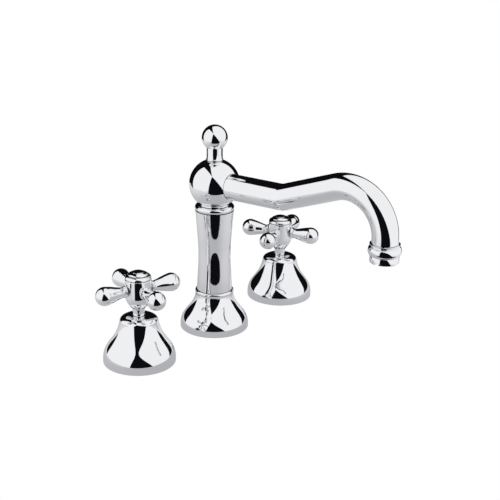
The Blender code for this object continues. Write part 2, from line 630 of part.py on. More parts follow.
def supply_tee(parent):
    """Tee that screws on the stem and takes the two valves' hoses."""
    top = SHANK_END + TEE_OVERLAP
    bore = SHANK_RADIUS + FIT
    floor = TEE_END + TEE_FLOOR
    middle = (TEE_CEILING + floor) / 2
    body = rod(TEE_RADIUS, TEE_END, top, MEDIUM)
    tee = piece("supply_tee", body, "brass", parent)
    carve(tee, lay(rod(OUTLET_RADIUS, -TEE_REACH, TEE_REACH), (1, 0, 0), middle), "UNION")
    hole = GUIDE_RADIUS + FIT
    beyond = 1 * MM
    chamber = [
        (0, TEE_END - beyond), (hole, TEE_END - beyond), (hole, floor), (TEE_CHAMBER_RADIUS, floor),
        (TEE_CHAMBER_RADIUS, TEE_CEILING), (bore, TEE_CEILING), (bore, top + beyond),
        (0, top + beyond),
    ]
    carve(tee, lathe(chamber, FINE))
    waterway = rod(OUTLET_BORE, -TEE_REACH - beyond, TEE_REACH + beyond)
    carve(tee, lay(waterway, (1, 0, 0), middle))

    guide = ring(ROD_RADIUS + RUNNING, GUIDE_RADIUS, TEE_END - GUIDE_BELOW_TEE, BALL_TOP - FIT, COARSE)
    piece("rod_guide", guide, "brass", parent)


def spout_ball(parent):
    foot = math.degrees(math.asin((BALL_FOOT + 1.2 * MM - BALL_CENTRE) / BALL_RADIUS))
    top = math.degrees(math.acos(KNOB_NECK_RADIUS / BALL_RADIUS))
    groove = TAIL_RADIUS - GROOVE_DEPTH
    screw = TAIL_END + 3 * MM
    seat = screw + 4 * MM
    half = GRUB_RADIUS + FIT
    hole = GUIDE_RADIUS + RUNNING
    outline = [
        (TAIL_BORE, TAIL_END), (TAIL_RADIUS, TAIL_END), (TAIL_RADIUS, screw - half),
        (groove, screw - half), (groove, screw + half), (TAIL_RADIUS, screw + half),
        (TAIL_RADIUS, seat), (groove, seat), (groove, seat + ORING_WIDTH + 2 * FIT),
        (TAIL_RADIUS, seat + ORING_WIDTH + 2 * FIT), (TAIL_RADIUS, BALL_FOOT),
        (BALL_NECK_RADIUS + 2 * FIT, BALL_FOOT), (BALL_NECK_RADIUS, BALL_FOOT + 0.6 * MM),
    ]
    outline += arc((0, BALL_CENTRE), (BALL_RADIUS, BALL_RADIUS), foot, top, 9)
    cavity_top = math.degrees(math.acos(hole / BALL_CAVITY_RADIUS))
    cavity_foot = -math.degrees(math.acos(TAIL_BORE / BALL_CAVITY_RADIUS))
    outline += [(hole, BALL_TOP)]
    outline += arc(
        (0, BALL_CENTRE), (BALL_CAVITY_RADIUS, BALL_CAVITY_RADIUS), cavity_top, cavity_foot, 4
    )
    ball = piece("spout_ball", lathe(outline), "chrome", parent)
    seat_radius = TUBE_RADIUS + FIT
    waterway = TUBE_RADIUS - TUBE_WALL
    port = [
        (0, BALL_CAVITY_RADIUS / 2), (waterway, BALL_CAVITY_RADIUS / 2), (waterway, TUBE_SEAT),
        (seat_radius, TUBE_SEAT), (seat_radius, BALL_RADIUS + 2 * MM), (0, BALL_RADIUS + 2 * MM),
    ]
    root = math.radians(SPOUT_ROOT_RISE)
    carve(ball, lay(lathe(port, MEDIUM), (0, -math.cos(root), math.sin(root)), BALL_CENTRE))


def spout_path():
    """Stations (reach, height, slope in degrees) along the tube's centreline, root to tip."""
    rise = math.radians(SPOUT_RISE)
    root = math.radians(SPOUT_ROOT_RISE)
    centre = (SPOUT_REACH - CROWN_RADIUS, BALL_CENTRE - CROWN_DROP)
    crown = (
        centre[0] - CROWN_RADIUS * math.sin(rise), centre[1] + CROWN_RADIUS * math.cos(rise)
    )
    # The straight stretches meet at the kink
    kink = (
        BALL_CENTRE - crown[1] + crown[0] * math.tan(rise)
    ) / (math.tan(rise) - math.tan(root))
    tangent = KINK_RADIUS * math.tan((rise - root) / 2)
    bend = (
        kink - tangent * math.cos(root),
        BALL_CENTRE + (kink - tangent * math.cos(root)) * math.tan(root),
    )
    bend_centre = (bend[0] - KINK_RADIUS * math.sin(root), bend[1] + KINK_RADIUS * math.cos(root))
    start = TUBE_SEAT + FIT
    stations = [(start * math.cos(root), BALL_CENTRE + start * math.sin(root), SPOUT_ROOT_RISE)]
    for step in range(4):
        slope = SPOUT_ROOT_RISE + (SPOUT_RISE - SPOUT_ROOT_RISE) * step / 3
        angle = math.radians(slope)
        stations.append(
            (
                bend_centre[0] + KINK_RADIUS * math.sin(angle),
                bend_centre[1] - KINK_RADIUS * math.cos(angle), slope,
            )
        )
    steps = 7
    for step in range(steps + 1):
        slope = SPOUT_RISE - (SPOUT_RISE + 90) * step / steps
        angle = math.radians(slope)
        stations.append(
            (
                centre[0] - CROWN_RADIUS * math.sin(angle),
                centre[1] + CROWN_RADIUS * math.cos(angle), slope,
            )
        )
    stations.append((SPOUT_REACH, centre[1] - TUBE_DROP, -90))
    return stations


def spout_tube(parent):
    stations = spout_path()
    sides = MEDIUM
    mesh = bmesh.new()

    def station_ring(number, wall):
        reach, height, slope = stations[number]
        share = number / (len(stations) - 1)
        radius = TUBE_RADIUS + (TUBE_TIP_RADIUS - TUBE_RADIUS) * share - wall
        angle = math.radians(slope)
        upright = Vector((0, math.sin(angle), math.cos(angle)))
        points = []
        for side in range(sides):
            around = math.tau * side / sides
            offset = Vector((radius * math.cos(around), 0, 0)) + radius * math.sin(around) * upright
            points.append(mesh.verts.new(Vector((0, -reach, height)) + offset))
        return points

    count = len(stations)
    rings = [station_ring(number, 0) for number in range(count)]
    rings += [station_ring(number, TUBE_WALL) for number in reversed(range(count))]
    for first, second in zip(rings, rings[1:] + rings[:1]):
        for side in range(sides):
            after = (side + 1) % sides
            mesh.faces.new((first[side], first[after], second[after], second[side]))
    bmesh.ops.recalc_face_normals(mesh, faces=mesh.faces)
    piece("spout_tube", mesh, "chrome", parent)
    return stations[-1][1]


def at_nozzle(mesh):
    bmesh.ops.translate(mesh, vec=(0, -SPOUT_REACH, 0), verts=mesh.verts)
    return mesh


def nozzle(tube_end, parent):
    top = tube_end - FIT
    collar = top - NOZZLE_COLLAR_HEIGHT
    low = collar - NOZZLE_BEAD_HEIGHT
    spigot = TUBE_TIP_RADIUS - TUBE_WALL - FIT
    waterway = spigot - 1.6 * MM
    thread = AERATOR_THREAD_RADIUS + FIT
    ceiling = low + AERATOR_THREAD_HEIGHT + 2 * FIT
    outline = [(waterway, top + TUBE_DROP), (waterway, ceiling), (thread, ceiling), (thread, low)]
    outline += bead(NOZZLE_BEAD_RADIUS, NOZZLE_BEAD_BULGE, low, collar, 4)
    outline += [(NOZZLE_COLLAR_RADIUS, collar + 0.3 * MM), (NOZZLE_COLLAR_RADIUS, top)]
    outline += [(spigot, top), (spigot, top + TUBE_DROP)]
    piece("nozzle_ring", at_nozzle(lathe(outline)), "chrome", parent)

    rim = low - FIT
    foot = rim - AERATOR_HEIGHT
    thread_top = low + AERATOR_THREAD_HEIGHT
    lip = foot + 1 * MM
    outline = [
        (AERATOR_LIP, foot), (AERATOR_RADIUS - 0.6 * MM, foot), (AERATOR_RADIUS, foot + 0.6 * MM),
        (AERATOR_RADIUS, rim), (AERATOR_THREAD_RADIUS, rim), (AERATOR_THREAD_RADIUS, thread_top),
        (AERATOR_BORE, thread_top), (AERATOR_BORE, lip), (AERATOR_LIP, lip),
    ]
    housing = piece("aerator_housing", at_nozzle(lathe(outline)), "chrome", parent)
    slots = []
    for direction in ((1, 0, 0), (0, 1, 0), (-1, 0, 0), (0, -1, 0)):
        slot = bmesh.new()
        bmesh.ops.create_cube(slot, size=1)
        length = 2 * (AERATOR_RADIUS - AERATOR_BORE)
        middle = (AERATOR_RADIUS + AERATOR_BORE) / 2 + 0.4 * MM
        depth = 2 * AERATOR_SLOT_DEPTH
        bmesh.ops.scale(slot, vec=(AERATOR_SLOT_WIDTH, depth, length), verts=slot.verts)
        bmesh.ops.translate(slot, vec=(0, 0, middle), verts=slot.verts)
        slots.append(at_nozzle(lay(slot, direction, foot)))
    carve(housing, joined(*slots))

    # Plastic core with stepped rings round a middle post
    core = AERATOR_BORE - FIT
    base = lip + FIT
    outline = [
        (0, base), (2 * MM, base), (2 * MM, base + 1 * MM), (3.4 * MM, base + 1 * MM),
        (3.4 * MM, base), (4.6 * MM, base), (4.6 * MM, base + 1 * MM), (6 * MM, base + 1 * MM),
        (6 * MM, base), (core, base), (core, thread_top - 1 * MM), (core - 1.2 * MM, thread_top - 1 * MM),
        (core - 1.2 * MM, base + 3 * MM), (0, base + 3 * MM),
    ]
    piece("aerator_core", at_nozzle(lathe(outline, MEDIUM)), "nylon", parent)


def lift_knob(parent):
    foot = BALL_TOP + FIT
    centre = foot + KNOB_CENTRE
    start = -math.degrees(math.acos(KNOB_NECK_RADIUS / KNOB_RADIUS))
    bore = ROD_RADIUS + FIT
    depth = foot + 14 * MM
    outline = [(0, depth), (bore, depth), (bore, foot), (KNOB_NECK_RADIUS - 2 * FIT, foot)]
    outline += [(KNOB_NECK_RADIUS, foot + 3 * FIT)]
    outline += arc((0, centre), (KNOB_RADIUS, KNOB_RADIUS), start, 90, 7)[:-1]
    outline += [(0, centre + KNOB_RADIUS)]
    piece("lift_knob", lathe(outline, MEDIUM), "chrome", parent)
    piece("lift_rod", rod(ROD_RADIUS, TEE_END - ROD_BELOW_TEE, depth - FIT), "steel", parent)


clear_scene()
valve("hot", -VALVE_OFFSET, HOT_TURN, 0)
valve("cold", VALVE_OFFSET, COLD_TURN, 180)
column_axis = axis_empty("column_axis")
base_flange(column_axis)
column(column_axis)
clamp("spout", column_axis)
supply_tee(column_axis)
spout_axis = axis_empty("spout_axis")
spout_ball(spout_axis)
nozzle(spout_tube(spout_axis), spout_axis)
lift_knob(axis_empty("lift_axis"))
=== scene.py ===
"""Three-hole basin mixer in polished chrome: fine surfaces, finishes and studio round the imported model.

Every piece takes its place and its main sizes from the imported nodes' boxes. Lengths are in metres.
"""

import math

import bmesh
import bpy
from mathutils import Matrix, Vector


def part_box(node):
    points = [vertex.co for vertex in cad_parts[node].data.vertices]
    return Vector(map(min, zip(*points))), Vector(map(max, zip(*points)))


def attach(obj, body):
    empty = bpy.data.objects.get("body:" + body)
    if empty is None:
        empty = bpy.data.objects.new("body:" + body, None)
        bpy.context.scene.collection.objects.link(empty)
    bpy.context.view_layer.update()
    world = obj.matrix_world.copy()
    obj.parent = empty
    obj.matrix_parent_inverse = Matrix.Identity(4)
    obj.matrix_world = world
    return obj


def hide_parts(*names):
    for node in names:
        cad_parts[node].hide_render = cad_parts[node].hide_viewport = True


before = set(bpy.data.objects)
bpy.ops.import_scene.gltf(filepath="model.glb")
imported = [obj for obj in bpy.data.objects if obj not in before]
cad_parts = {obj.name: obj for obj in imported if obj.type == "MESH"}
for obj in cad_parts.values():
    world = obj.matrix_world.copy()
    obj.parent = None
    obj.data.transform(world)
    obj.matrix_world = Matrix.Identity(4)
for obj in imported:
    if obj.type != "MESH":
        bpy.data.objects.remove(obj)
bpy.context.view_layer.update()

MM = 0.001
FIT = 0.3 * MM  # gap between pieces that seat on each other
LARGE = 128  # sides of large round pieces
SMALL = 64
BORED = 48  # sides of pieces under the deck

# How far each cross is turned about its valve, in degrees
HOT_TURN = -18.0
COLD_TURN = 15.0
SQUARE = ((1, 0, 0), (0, 1, 0), (-1, 0, 0), (0, -1, 0))  # ways that four arms or slots face

# Threads and nuts
SHANK_PITCH = 1.5 * MM
NIPPLE_PITCH = 1.34 * MM
THREAD_DEPTH = 0.75  # of the pitch
NUT_CHAMFER = 0.55  # rise of a nut's corners for each metre they are turned back
SHANK_RADIUS = 14 * MM
SHANK_BORE = SHANK_RADIUS + FIT  # of whatever goes round a shank
SHANK_TOP = -4 * MM  # where the threads end, under the deck's top
NUT_FLATS = 2 * (SHANK_RADIUS + 6 * MM)
NIPPLE_RADIUS = 7 * MM
NIPPLE_BORE = 3.5 * MM

# Column sleeve
WAIST_HEIGHT = 73 * MM  # where the sleeve is narrowest
WAIST_RADIUS = 14.6 * MM
SLEEVE_TILTS = (  # height in mm and how far the wall leans back there, in degrees
    (36, 3.0), (40, 3.2), (44, 3.2), (46, 3.5), (48, 3.9), (54, 3.2), (60, 2.2), (66, 1.1), (71, -0.2),
    (75, -1.5), (78, -2.9), (82, -3.6), (86, -4.1), (88, -4.1), (92, -3.9), (100, -4.7), (106, -5.5),
    (114, -6.7),
)

# Spout, slopes in degrees
SPOUT_ROOT_RISE = 1.5
SPOUT_RISE = 20.0
CROWN_RADIUS = 36 * MM
CROWN_DROP = 12.3 * MM
KINK_RADIUS = 12.4 * MM  # the bend's inner side is almost a crease
KNOB_NECK = 7.2 * MM  # radius of the knob's neck and of the flat it stands on

# Studio camera
CAMERA_AZIMUTH = -50.32
CAMERA_ELEVATION = 17.03
CAMERA_ROLL = 0.23
CAMERA_PLACE = (-0.7202, -0.6038, 0.4090)
LENS = 78.9
SHIFT = (0.06, -0.10)
TABLE_FRONT = 0.19  # of the pale table that the metal sees


# Outlines

def arc(centre, radii, start, stop, steps):
    """Points of an elliptical arc in (radius, height), angles in degrees from the outward side."""
    angles = [math.radians(start + (stop - start) * i / steps) for i in range(steps + 1)]
    return [(centre[0] + radii[0] * math.cos(a), centre[1] + radii[1] * math.sin(a)) for a in angles]


def bezier(a, b, c, d, steps):
    points = []
    for i in range(steps + 1):
        t = i / steps
        weights = ((1 - t) ** 3, 3 * t * (1 - t) ** 2, 3 * t * t * (1 - t), t**3)
        points.append(tuple(sum(w * p[k] for w, p in zip(weights, (a, b, c, d))) for k in (0, 1)))
    return points


def flare(foot, top, belly, hollow, spread, steps=40):
    """A bell-like curve: full near the foot and hollow near the top."""
    rise = top[1] - foot[1]
    width = foot[0] - top[0]
    return bezier(
        foot, (foot[0], foot[1] + belly * rise),
        (top[0] + spread * width, foot[1] + hollow * rise), top, steps,
    )


def bead(radius, bulge, low, high, steps=14):
    """A half-round bead whose crest stands at radius."""
    return arc((radius - bulge, (low + high) / 2), (bulge, (high - low) / 2), -90, 90, steps)


# Modelling

def lathe(outline, sides=LARGE):
    """Turn an outline of (radius, height) points about Z, closed on itself or on the axis."""
    mesh = bmesh.new()
    points = [mesh.verts.new((radius, 0, height)) for radius, height in outline]
    edges = [mesh.edges.new(pair) for pair in zip(points, points[1:])]
    if outline[0][0] > 0 or outline[-1][0] > 0:
        edges.append(mesh.edges.new((points[-1], points[0])))
    bmesh.ops.spin(
        mesh, geom=points + edges, axis=(0, 0, 1), cent=(0, 0, 0),
        steps=sides, angle=math.tau, use_merge=True,
    )
    bmesh.ops.remove_doubles(mesh, verts=mesh.verts, dist=1e-7)
    bmesh.ops.recalc_face_normals(mesh, faces=mesh.faces)
    return mesh


def soften(mesh, width, angle=35, segments=2):
    """Round the edges that turn more than an angle."""
    sharp = [e for e in mesh.edges if e.is_manifold and e.calc_face_angle(0) > math.radians(angle)]
    bmesh.ops.bevel(
        mesh, geom=sharp, offset=width, offset_type="OFFSET", segments=segments, profile=0.5,
        affect="EDGES", material=-1, clamp_overlap=True,
    )
    return mesh


def ring(bore, radius, low, high, sides=BORED, edge=0.3 * MM):
    return soften(lathe([(bore, low), (radius, low), (radius, high), (bore, high)], sides), edge)


def hexagon(mesh, flats, low, high, beyond):
    """Draw the outer points between two heights to a hexagon whose corners are turned back."""
    for point in mesh.verts:
        radius = math.hypot(point.co.x, point.co.y)
        if low - 1e-6 <= point.co.z <= high + 1e-6 and radius > beyond:
            angle = math.atan2(point.co.y, point.co.x) % math.radians(60) - math.radians(30)
            reach = flats / 2 / math.cos(angle)
            inset = min(point.co.z - low, high - point.co.z)
            reach = min(reach, flats / 2 - 0.2 * MM + inset / NUT_CHAMFER)
            point.co.x *= reach / radius
            point.co.y *= reach / radius
    return mesh


def hex_ring(bore, flats, low, high, edge=0.35 * MM):
    """A hexagonal nut with a countersunk bore."""
    rise = NUT_CHAMFER * (flats / 2 / math.cos(math.radians(30)) - flats / 2)
    outer = flats / 2
    outline = [(bore + 2 * edge, low), (outer, low)]
    outline += [(outer, low + rise * share) for share in (0.25, 0.5, 0.75, 1)]
    outline += [(outer, high - rise * share) for share in (1, 0.75, 0.5, 0.25)]
    outline += [(outer, high), (bore + 2 * edge, high), (bore, high - 2 * edge), (bore, low + 2 * edge)]
    return hexagon(lathe(outline, 96), flats, low, high, bore + 3 * edge)


def threaded(radius, bore, pitch, low, high, sides=BORED):
    """A tube from low to high with a helical thread outside and chamfered ends."""
    depth = THREAD_DEPTH * pitch
    root = radius - depth
    tooth = [(root, 0), (root, 0.15), (radius, 0.5), (radius, 0.65), (root, 1)]
    mesh = bmesh.new()
    points = [mesh.verts.new((r, 0, low - 2 * pitch + share * pitch)) for r, share in tooth]
    edges = [mesh.edges.new(pair) for pair in zip(points, points[1:])]
    bmesh.ops.spin(
        mesh, geom=points + edges, axis=(0, 0, 1), cent=(0, 0, 0),
        dvec=(0, 0, pitch / sides), steps=sides, angle=math.tau,
    )
    turn = mesh.verts[:] + mesh.edges[:] + mesh.faces[:]
    for number in range(1, math.ceil((high - low) / pitch) + 3):
        copy = bmesh.ops.duplicate(mesh, geom=turn)["geom"]
        copied = [v for v in copy if isinstance(v, bmesh.types.BMVert)]
        bmesh.ops.translate(mesh, vec=(0, 0, number * pitch), verts=copied)
    for height, side in ((low, 1), (high, -1)):
        bmesh.ops.bisect_plane(
            mesh, geom=mesh.verts[:] + mesh.edges[:] + mesh.faces[:], dist=1e-7,
            plane_co=(0, 0, height), plane_no=(0, 0, -side), clear_outer=True,
        )
    for point in mesh.verts:
        limit = root + min(point.co.z - low, high - point.co.z)
        size = math.hypot(point.co.x, point.co.y)
        if size > limit:
            point.co.x *= limit / size
            point.co.y *= limit / size
    rims = []
    for height in (low, high):
        rim = [e for e in mesh.edges if e.is_boundary and all(abs(v.co.z - height) < 1e-6 for v in e.verts)]
        made = bmesh.ops.extrude_edge_only(mesh, edges=rim)["geom"]
        for point in (v for v in made if isinstance(v, bmesh.types.BMVert)):
            size = math.hypot(point.co.x, point.co.y)
            point.co.x *= bore / size
            point.co.y *= bore / size
        rims += [e for e in made if isinstance(e, bmesh.types.BMEdge) and e.is_boundary]
    bmesh.ops.bridge_loops(mesh, edges=rims)
    bmesh.ops.recalc_face_normals(mesh, faces=mesh.faces)
    return mesh


def joined(*meshes):
    whole = bmesh.new()
    for number, mesh in enumerate(meshes):
        data = bpy.data.meshes.new(f"joined_{number}")
        mesh.to_mesh(data)
        mesh.free()
        whole.from_mesh(data)
        bpy.data.meshes.remove(data)
    return whole


def moved(mesh, x=0.0, y=0.0, z=0.0, turn=0.0):
    """Turn a mesh about Z by degrees, then shift it."""
    matrix = Matrix.Translation((x, y, z)) @ Matrix.Rotation(math.radians(turn), 4, "Z")
    bmesh.ops.transform(mesh, matrix=matrix, verts=mesh.verts)
    return mesh


def lay(mesh, direction, height=0.0):
    """Lay a piece turned about Z along a level direction, at a height."""
    turn = Vector((0, 0, 1)).rotation_difference(Vector(direction)).to_matrix().to_4x4()
    bmesh.ops.transform(mesh, matrix=Matrix.Translation((0, 0, height)) @ turn, verts=mesh.verts)
    return mesh


def cut(mesh, cutter):
    """Cut one closed mesh from another."""
    things = []
    for name, source in (("whole", mesh), ("cutter", cutter)):
        data = bpy.data.meshes.new(name)
        source.to_mesh(data)
        source.free()
        things.append(bpy.data.objects.new(name, data))
        bpy.context.scene.collection.objects.link(things[-1])
    modifier = things[0].modifiers.new("cut", "BOOLEAN")
    modifier.object = things[1]
    graph = bpy.context.evaluated_depsgraph_get()
    result = bmesh.new()
    result.from_object(things[0], graph)
    for thing in things:
        data = thing.data
        bpy.data.objects.remove(thing)
        bpy.data.meshes.remove(data)
    return result


# Shader node groups

def new_group(name, inputs, outputs):
    group = bpy.data.node_groups.new(name, "ShaderNodeTree")
    for label, kind, value in inputs:
        socket = group.interface.new_socket(label, in_out="INPUT", socket_type=kind)
        socket.default_value = value
    for label, kind in outputs:
        group.interface.new_socket(label, in_out="OUTPUT", socket_type=kind)
    return group, group.nodes.new("NodeGroupInput"), group.nodes.new("NodeGroupOutput")


def node(tree, kind, links=(), **settings):
    """Add a node, set its properties and link (output socket, input name or number) pairs."""
    made = tree.nodes.new(kind)
    for name, value in settings.items():
        if name in made.bl_rna.properties:
            setattr(made, name, value)
        else:
            made.inputs[name.replace("_", " ")].default_value = value
    for source, target in links:
        tree.links.new(source, made.inputs[target])
    return made


def arithmetic(tree, operation, first, second):
    made = tree.nodes.new("ShaderNodeMath")
    made.operation = operation
    for socket, value in zip(made.inputs, (first, second)):
        if isinstance(value, (int, float)):
            socket.default_value = value
        else:
            tree.links.new(value, socket)
    return made.outputs[0]


def ramp(tree, source, low, high):
    """0 below low, 1 above high."""
    made = node(tree, "ShaderNodeMapRange", [(source, "Value")])
    made.inputs["From Min"].default_value = low
    made.inputs["From Max"].default_value = high
    return made.outputs["Result"]


def fine_scratch_group():
    """Hairline wiping marks: two families of long thin streaks."""
    inputs = [("Vector", "NodeSocketVector", (0, 0, 0)), ("Scale", "NodeSocketFloat", 1.0)]
    tree, given, result = new_group("hairline_marks", inputs, [("Height", "NodeSocketFloat")])
    total = None
    for turn, seed in ((0.5, 0.0), (-0.9, 7.0)):
        mapping = node(tree, "ShaderNodeMapping", [(given.outputs["Vector"], "Vector")])
        mapping.inputs["Rotation"].default_value = (turn, 0.3 * turn, turn)
        mapping.inputs["Location"].default_value = (seed, seed, seed)
        mapping.inputs["Scale"].default_value = (1, 22, 22)
        streak = node(
            tree, "ShaderNodeTexNoise",
            [(mapping.outputs[0], "Vector"), (given.outputs["Scale"], "Scale")], Detail=2.0,
        )
        line = ramp(tree, streak.outputs["Fac"], 0.66, 0.72)
        total = line if total is None else arithmetic(tree, "MAXIMUM", total, line)
    tree.links.new(total, result.inputs["Height"])
    return tree


def water_mark_group():
    """Faint dried drops and a soft film left by wiping."""
    inputs = [("Vector", "NodeSocketVector", (0, 0, 0)), ("Drop Scale", "NodeSocketFloat", 160.0)]
    outputs = [("Film", "NodeSocketFloat"), ("Drops", "NodeSocketFloat")]
    tree, given, result = new_group("water_marks", inputs, outputs)
    film = node(
        tree, "ShaderNodeTexNoise", [(given.outputs["Vector"], "Vector")],
        Scale=38.0, Detail=5.0, Roughness=0.62,
    )
    tree.links.new(ramp(tree, film.outputs["Fac"], 0.35, 0.75), result.inputs["Film"])
    cells = node(
        tree, "ShaderNodeTexVoronoi",
        [(given.outputs["Vector"], "Vector"), (given.outputs["Drop Scale"], "Scale")],
    )
    inner = ramp(tree, cells.outputs["Distance"], 0.16, 0.20)
    outer = ramp(tree, cells.outputs["Distance"], 0.26, 0.21)
    rim = arithmetic(tree, "MULTIPLY", inner, outer)
    split = node(tree, "ShaderNodeSeparateColor", [(cells.outputs["Color"], "Color")])
    chosen = arithmetic(tree, "GREATER_THAN", split.outputs[0], 0.86)
    tree.links.new(arithmetic(tree, "MULTIPLY", rim, chosen), result.inputs["Drops"])
    return tree


def grain_group():
    """Cast or moulded grain at two scales."""
    inputs = [("Vector", "NodeSocketVector", (0, 0, 0)), ("Scale", "NodeSocketFloat", 900.0)]
    outputs = [("Height", "NodeSocketFloat"), ("Blotch", "NodeSocketFloat")]
    tree, given, result = new_group("surface_grain", inputs, outputs)
    fine = node(
        tree, "ShaderNodeTexNoise",
        [(given.outputs["Vector"], "Vector"), (given.outputs["Scale"], "Scale")],
        Detail=6.0, Roughness=0.6,
    )
    broad = node(
        tree, "ShaderNodeTexNoise", [(given.outputs["Vector"], "Vector")],
        Scale=70.0, Detail=4.0, Roughness=0.55,
    )
    tree.links.new(fine.outputs["Fac"], result.inputs["Height"])
    tree.links.new(ramp(tree, broad.outputs["Fac"], 0.3, 0.7), result.inputs["Blotch"])
    return tree


def turning_group():
    """Fine tool marks left on turned metal, as rings along Z."""
    inputs = [("Vector", "NodeSocketVector", (0, 0, 0)), ("Scale", "NodeSocketFloat", 500.0)]
    tree, given, result = new_group("tool_marks", inputs, [("Height", "NodeSocketFloat")])
    mapping = node(tree, "ShaderNodeMapping", [(given.outputs["Vector"], "Vector")])
    mapping.inputs["Scale"].default_value = (0.02, 0.02, 1)
    marks = node(
        tree, "ShaderNodeTexNoise",
        [(mapping.outputs[0], "Vector"), (given.outputs["Scale"], "Scale")], Detail=5.0, Roughness=0.75,
    )
    tree.links.new(marks.outputs["Fac"], result.inputs["Height"])
    return tree


HAIRLINES = fine_scratch_group()
WATER_MARKS = water_mark_group()
GRAIN = grain_group()
TOOL_MARKS = turning_group()


# Finishes

def new_finish(name, metallic=0.0, **sockets):
    material = bpy.data.materials.new(name)
    material.use_nodes = True
    shader = material.node_tree.nodes["Principled BSDF"]
    shader.inputs["Metallic"].default_value = metallic
    for label, value in sockets.items():
        shader.inputs[label.replace("_", " ")].default_value = value
    place = material.node_tree.nodes.new("ShaderNodeTexCoord")
    return material, material.node_tree, shader, place.outputs["Object"]


def use_group(tree, group, vector, **values):
    made = tree.nodes.new("ShaderNodeGroup")
    made.node_tree = group
    tree.links.new(vector, made.inputs["Vector"])
    for label, value in values.items():
        made.inputs[label.replace("_", " ")].default_value = value
    return made.outputs


def blend_colour(tree, share, first, second):
    mix = tree.nodes.new("ShaderNodeMix")
    mix.data_type = "RGBA"
    tree.links.new(share, mix.inputs["Factor"])
    for socket, value in ((mix.inputs[6], first), (mix.inputs[7], second)):
        socket.default_value = (*value, 1)
    return mix.outputs[2]


def set_range(tree, shader, label, share, low, high):
    made = node(tree, "ShaderNodeMapRange", [(share, "Value")])
    made.inputs["To Min"].default_value = low
    made.inputs["To Max"].default_value = high
    tree.links.new(made.outputs["Result"], shader.inputs[label])


def set_bump(tree, shader, height, strength, distance):
    bump = node(tree, "ShaderNodeBump", [(height, "Height")])
    bump.inputs["Strength"].default_value = strength
    bump.inputs["Distance"].default_value = distance
    tree.links.new(bump.outputs["Normal"], shader.inputs["Normal"])


def polished_chrome(name="polished_chrome", wear=1.0):
    """Bright nickel-chrome plate: near mirror, with a film, dried drops and hairline marks."""
    material, tree, shader, place = new_finish(name, metallic=1.0)
    water = use_group(tree, WATER_MARKS, place)
    marks = use_group(tree, HAIRLINES, place, Scale=90.0)["Height"]
    colour = blend_colour(tree, water["Film"], (0.90, 0.905, 0.915), (0.872, 0.878, 0.890))
    tree.links.new(colour, shader.inputs["Base Color"])
    dull = arithmetic(tree, "MULTIPLY", water["Film"], 0.45)
    dull = arithmetic(tree, "ADD", dull, arithmetic(tree, "MULTIPLY", marks, 0.4))
    dull = arithmetic(tree, "ADD", dull, arithmetic(tree, "MULTIPLY", water["Drops"], 0.5))
    set_range(tree, shader, "Roughness", dull, 0.018, 0.018 + 0.05 * wear)
    set_bump(tree, shader, marks, 0.03 * wear, 0.00002)
    return material


def raw_brass(name, colour, tarnish, polish):
    """Unplated brass under the deck: turned, slightly tarnished."""
    material, tree, shader, place = new_finish(name, metallic=1.0)
    grain = use_group(tree, GRAIN, place, Scale=1400.0)
    lines = use_group(tree, TOOL_MARKS, place, Scale=900.0)["Height"]
    tree.links.new(blend_colour(tree, grain["Blotch"], colour, tarnish), shader.inputs["Base Color"])
    rough = arithmetic(tree, "MULTIPLY", arithmetic(tree, "ADD", grain["Blotch"], lines), 0.5)
    set_range(tree, shader, "Roughness", rough, polish, polish + 0.2)
    height = arithmetic(tree, "ADD", arithmetic(tree, "MULTIPLY", grain["Height"], 0.4), lines)
    set_bump(tree, shader, height, 0.25, 0.00006)
    return material


def plain_steel():
    """Zinc-dipped steel with a faint spangle and a fine grain."""
    material, tree, shader, place = new_finish("dipped_steel", metallic=1.0)
    cells = node(tree, "ShaderNodeTexVoronoi", [(place, "Vector")], Scale=260.0)
    split = node(tree, "ShaderNodeSeparateColor", [(cells.outputs["Color"], "Color")])
    tint = blend_colour(tree, split.outputs[0], (0.60, 0.61, 0.63), (0.47, 0.48, 0.50))
    tree.links.new(tint, shader.inputs["Base Color"])
    grain = use_group(tree, GRAIN, place, Scale=1600.0)
    set_range(tree, shader, "Roughness", grain["Blotch"], 0.26, 0.42)
    set_bump(tree, shader, grain["Height"], 0.2, 0.00005)
    return material


def moulded(name, light, dark, rough, grain_scale, strength, **sockets):
    """Rubber, plastic or ceramic with a moulded grain and slight mottling."""
    material, tree, shader, place = new_finish(name, **sockets)
    grain = use_group(tree, GRAIN, place, Scale=grain_scale)
    tree.links.new(blend_colour(tree, grain["Blotch"], light, dark), shader.inputs["Base Color"])
    set_range(tree, shader, "Roughness", grain["Height"], rough[0], rough[1])
    set_bump(tree, shader, grain["Height"], strength, 0.0001)
    return material


FINISHES = {
    "chrome": polished_chrome(),
    "brass": raw_brass("turned_brass", (0.78, 0.60, 0.30), (0.60, 0.42, 0.18), 0.20),
    "steel": plain_steel(),
    "rubber": moulded("black_rubber", (0.030, 0.030, 0.031), (0.018, 0.018, 0.019), (0.55, 0.8), 1800.0, 0.5),
    "ceramic": moulded(
        "lapped_ceramic", (0.90, 0.89, 0.86), (0.84, 0.83, 0.79), (0.08, 0.2), 2600.0, 0.1, Coat_Weight=0.2
    ),
    "nylon": moulded("white_nylon", (0.84, 0.84, 0.82), (0.77, 0.77, 0.74), (0.35, 0.5), 1500.0, 0.25),
}


def piece(node_name, mesh, finish, body, sharp=38):
    """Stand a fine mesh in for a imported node, on the same body and in the same finish."""
    data = bpy.data.meshes.new(f"fine_{node_name}")
    mesh.to_mesh(data)
    mesh.free()
    data.shade_smooth()
    data.set_sharp_from_angle(angle=math.radians(sharp))
    data.materials.append(FINISHES[finish])
    thing = bpy.data.objects.new(f"fine_{node_name}", data)
    bpy.context.scene.collection.objects.link(thing)
    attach(thing, body)
    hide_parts(node_name)
    return thing


def axis_of(node_name):
    low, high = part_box(node_name)
    return (low.x + high.x) / 2


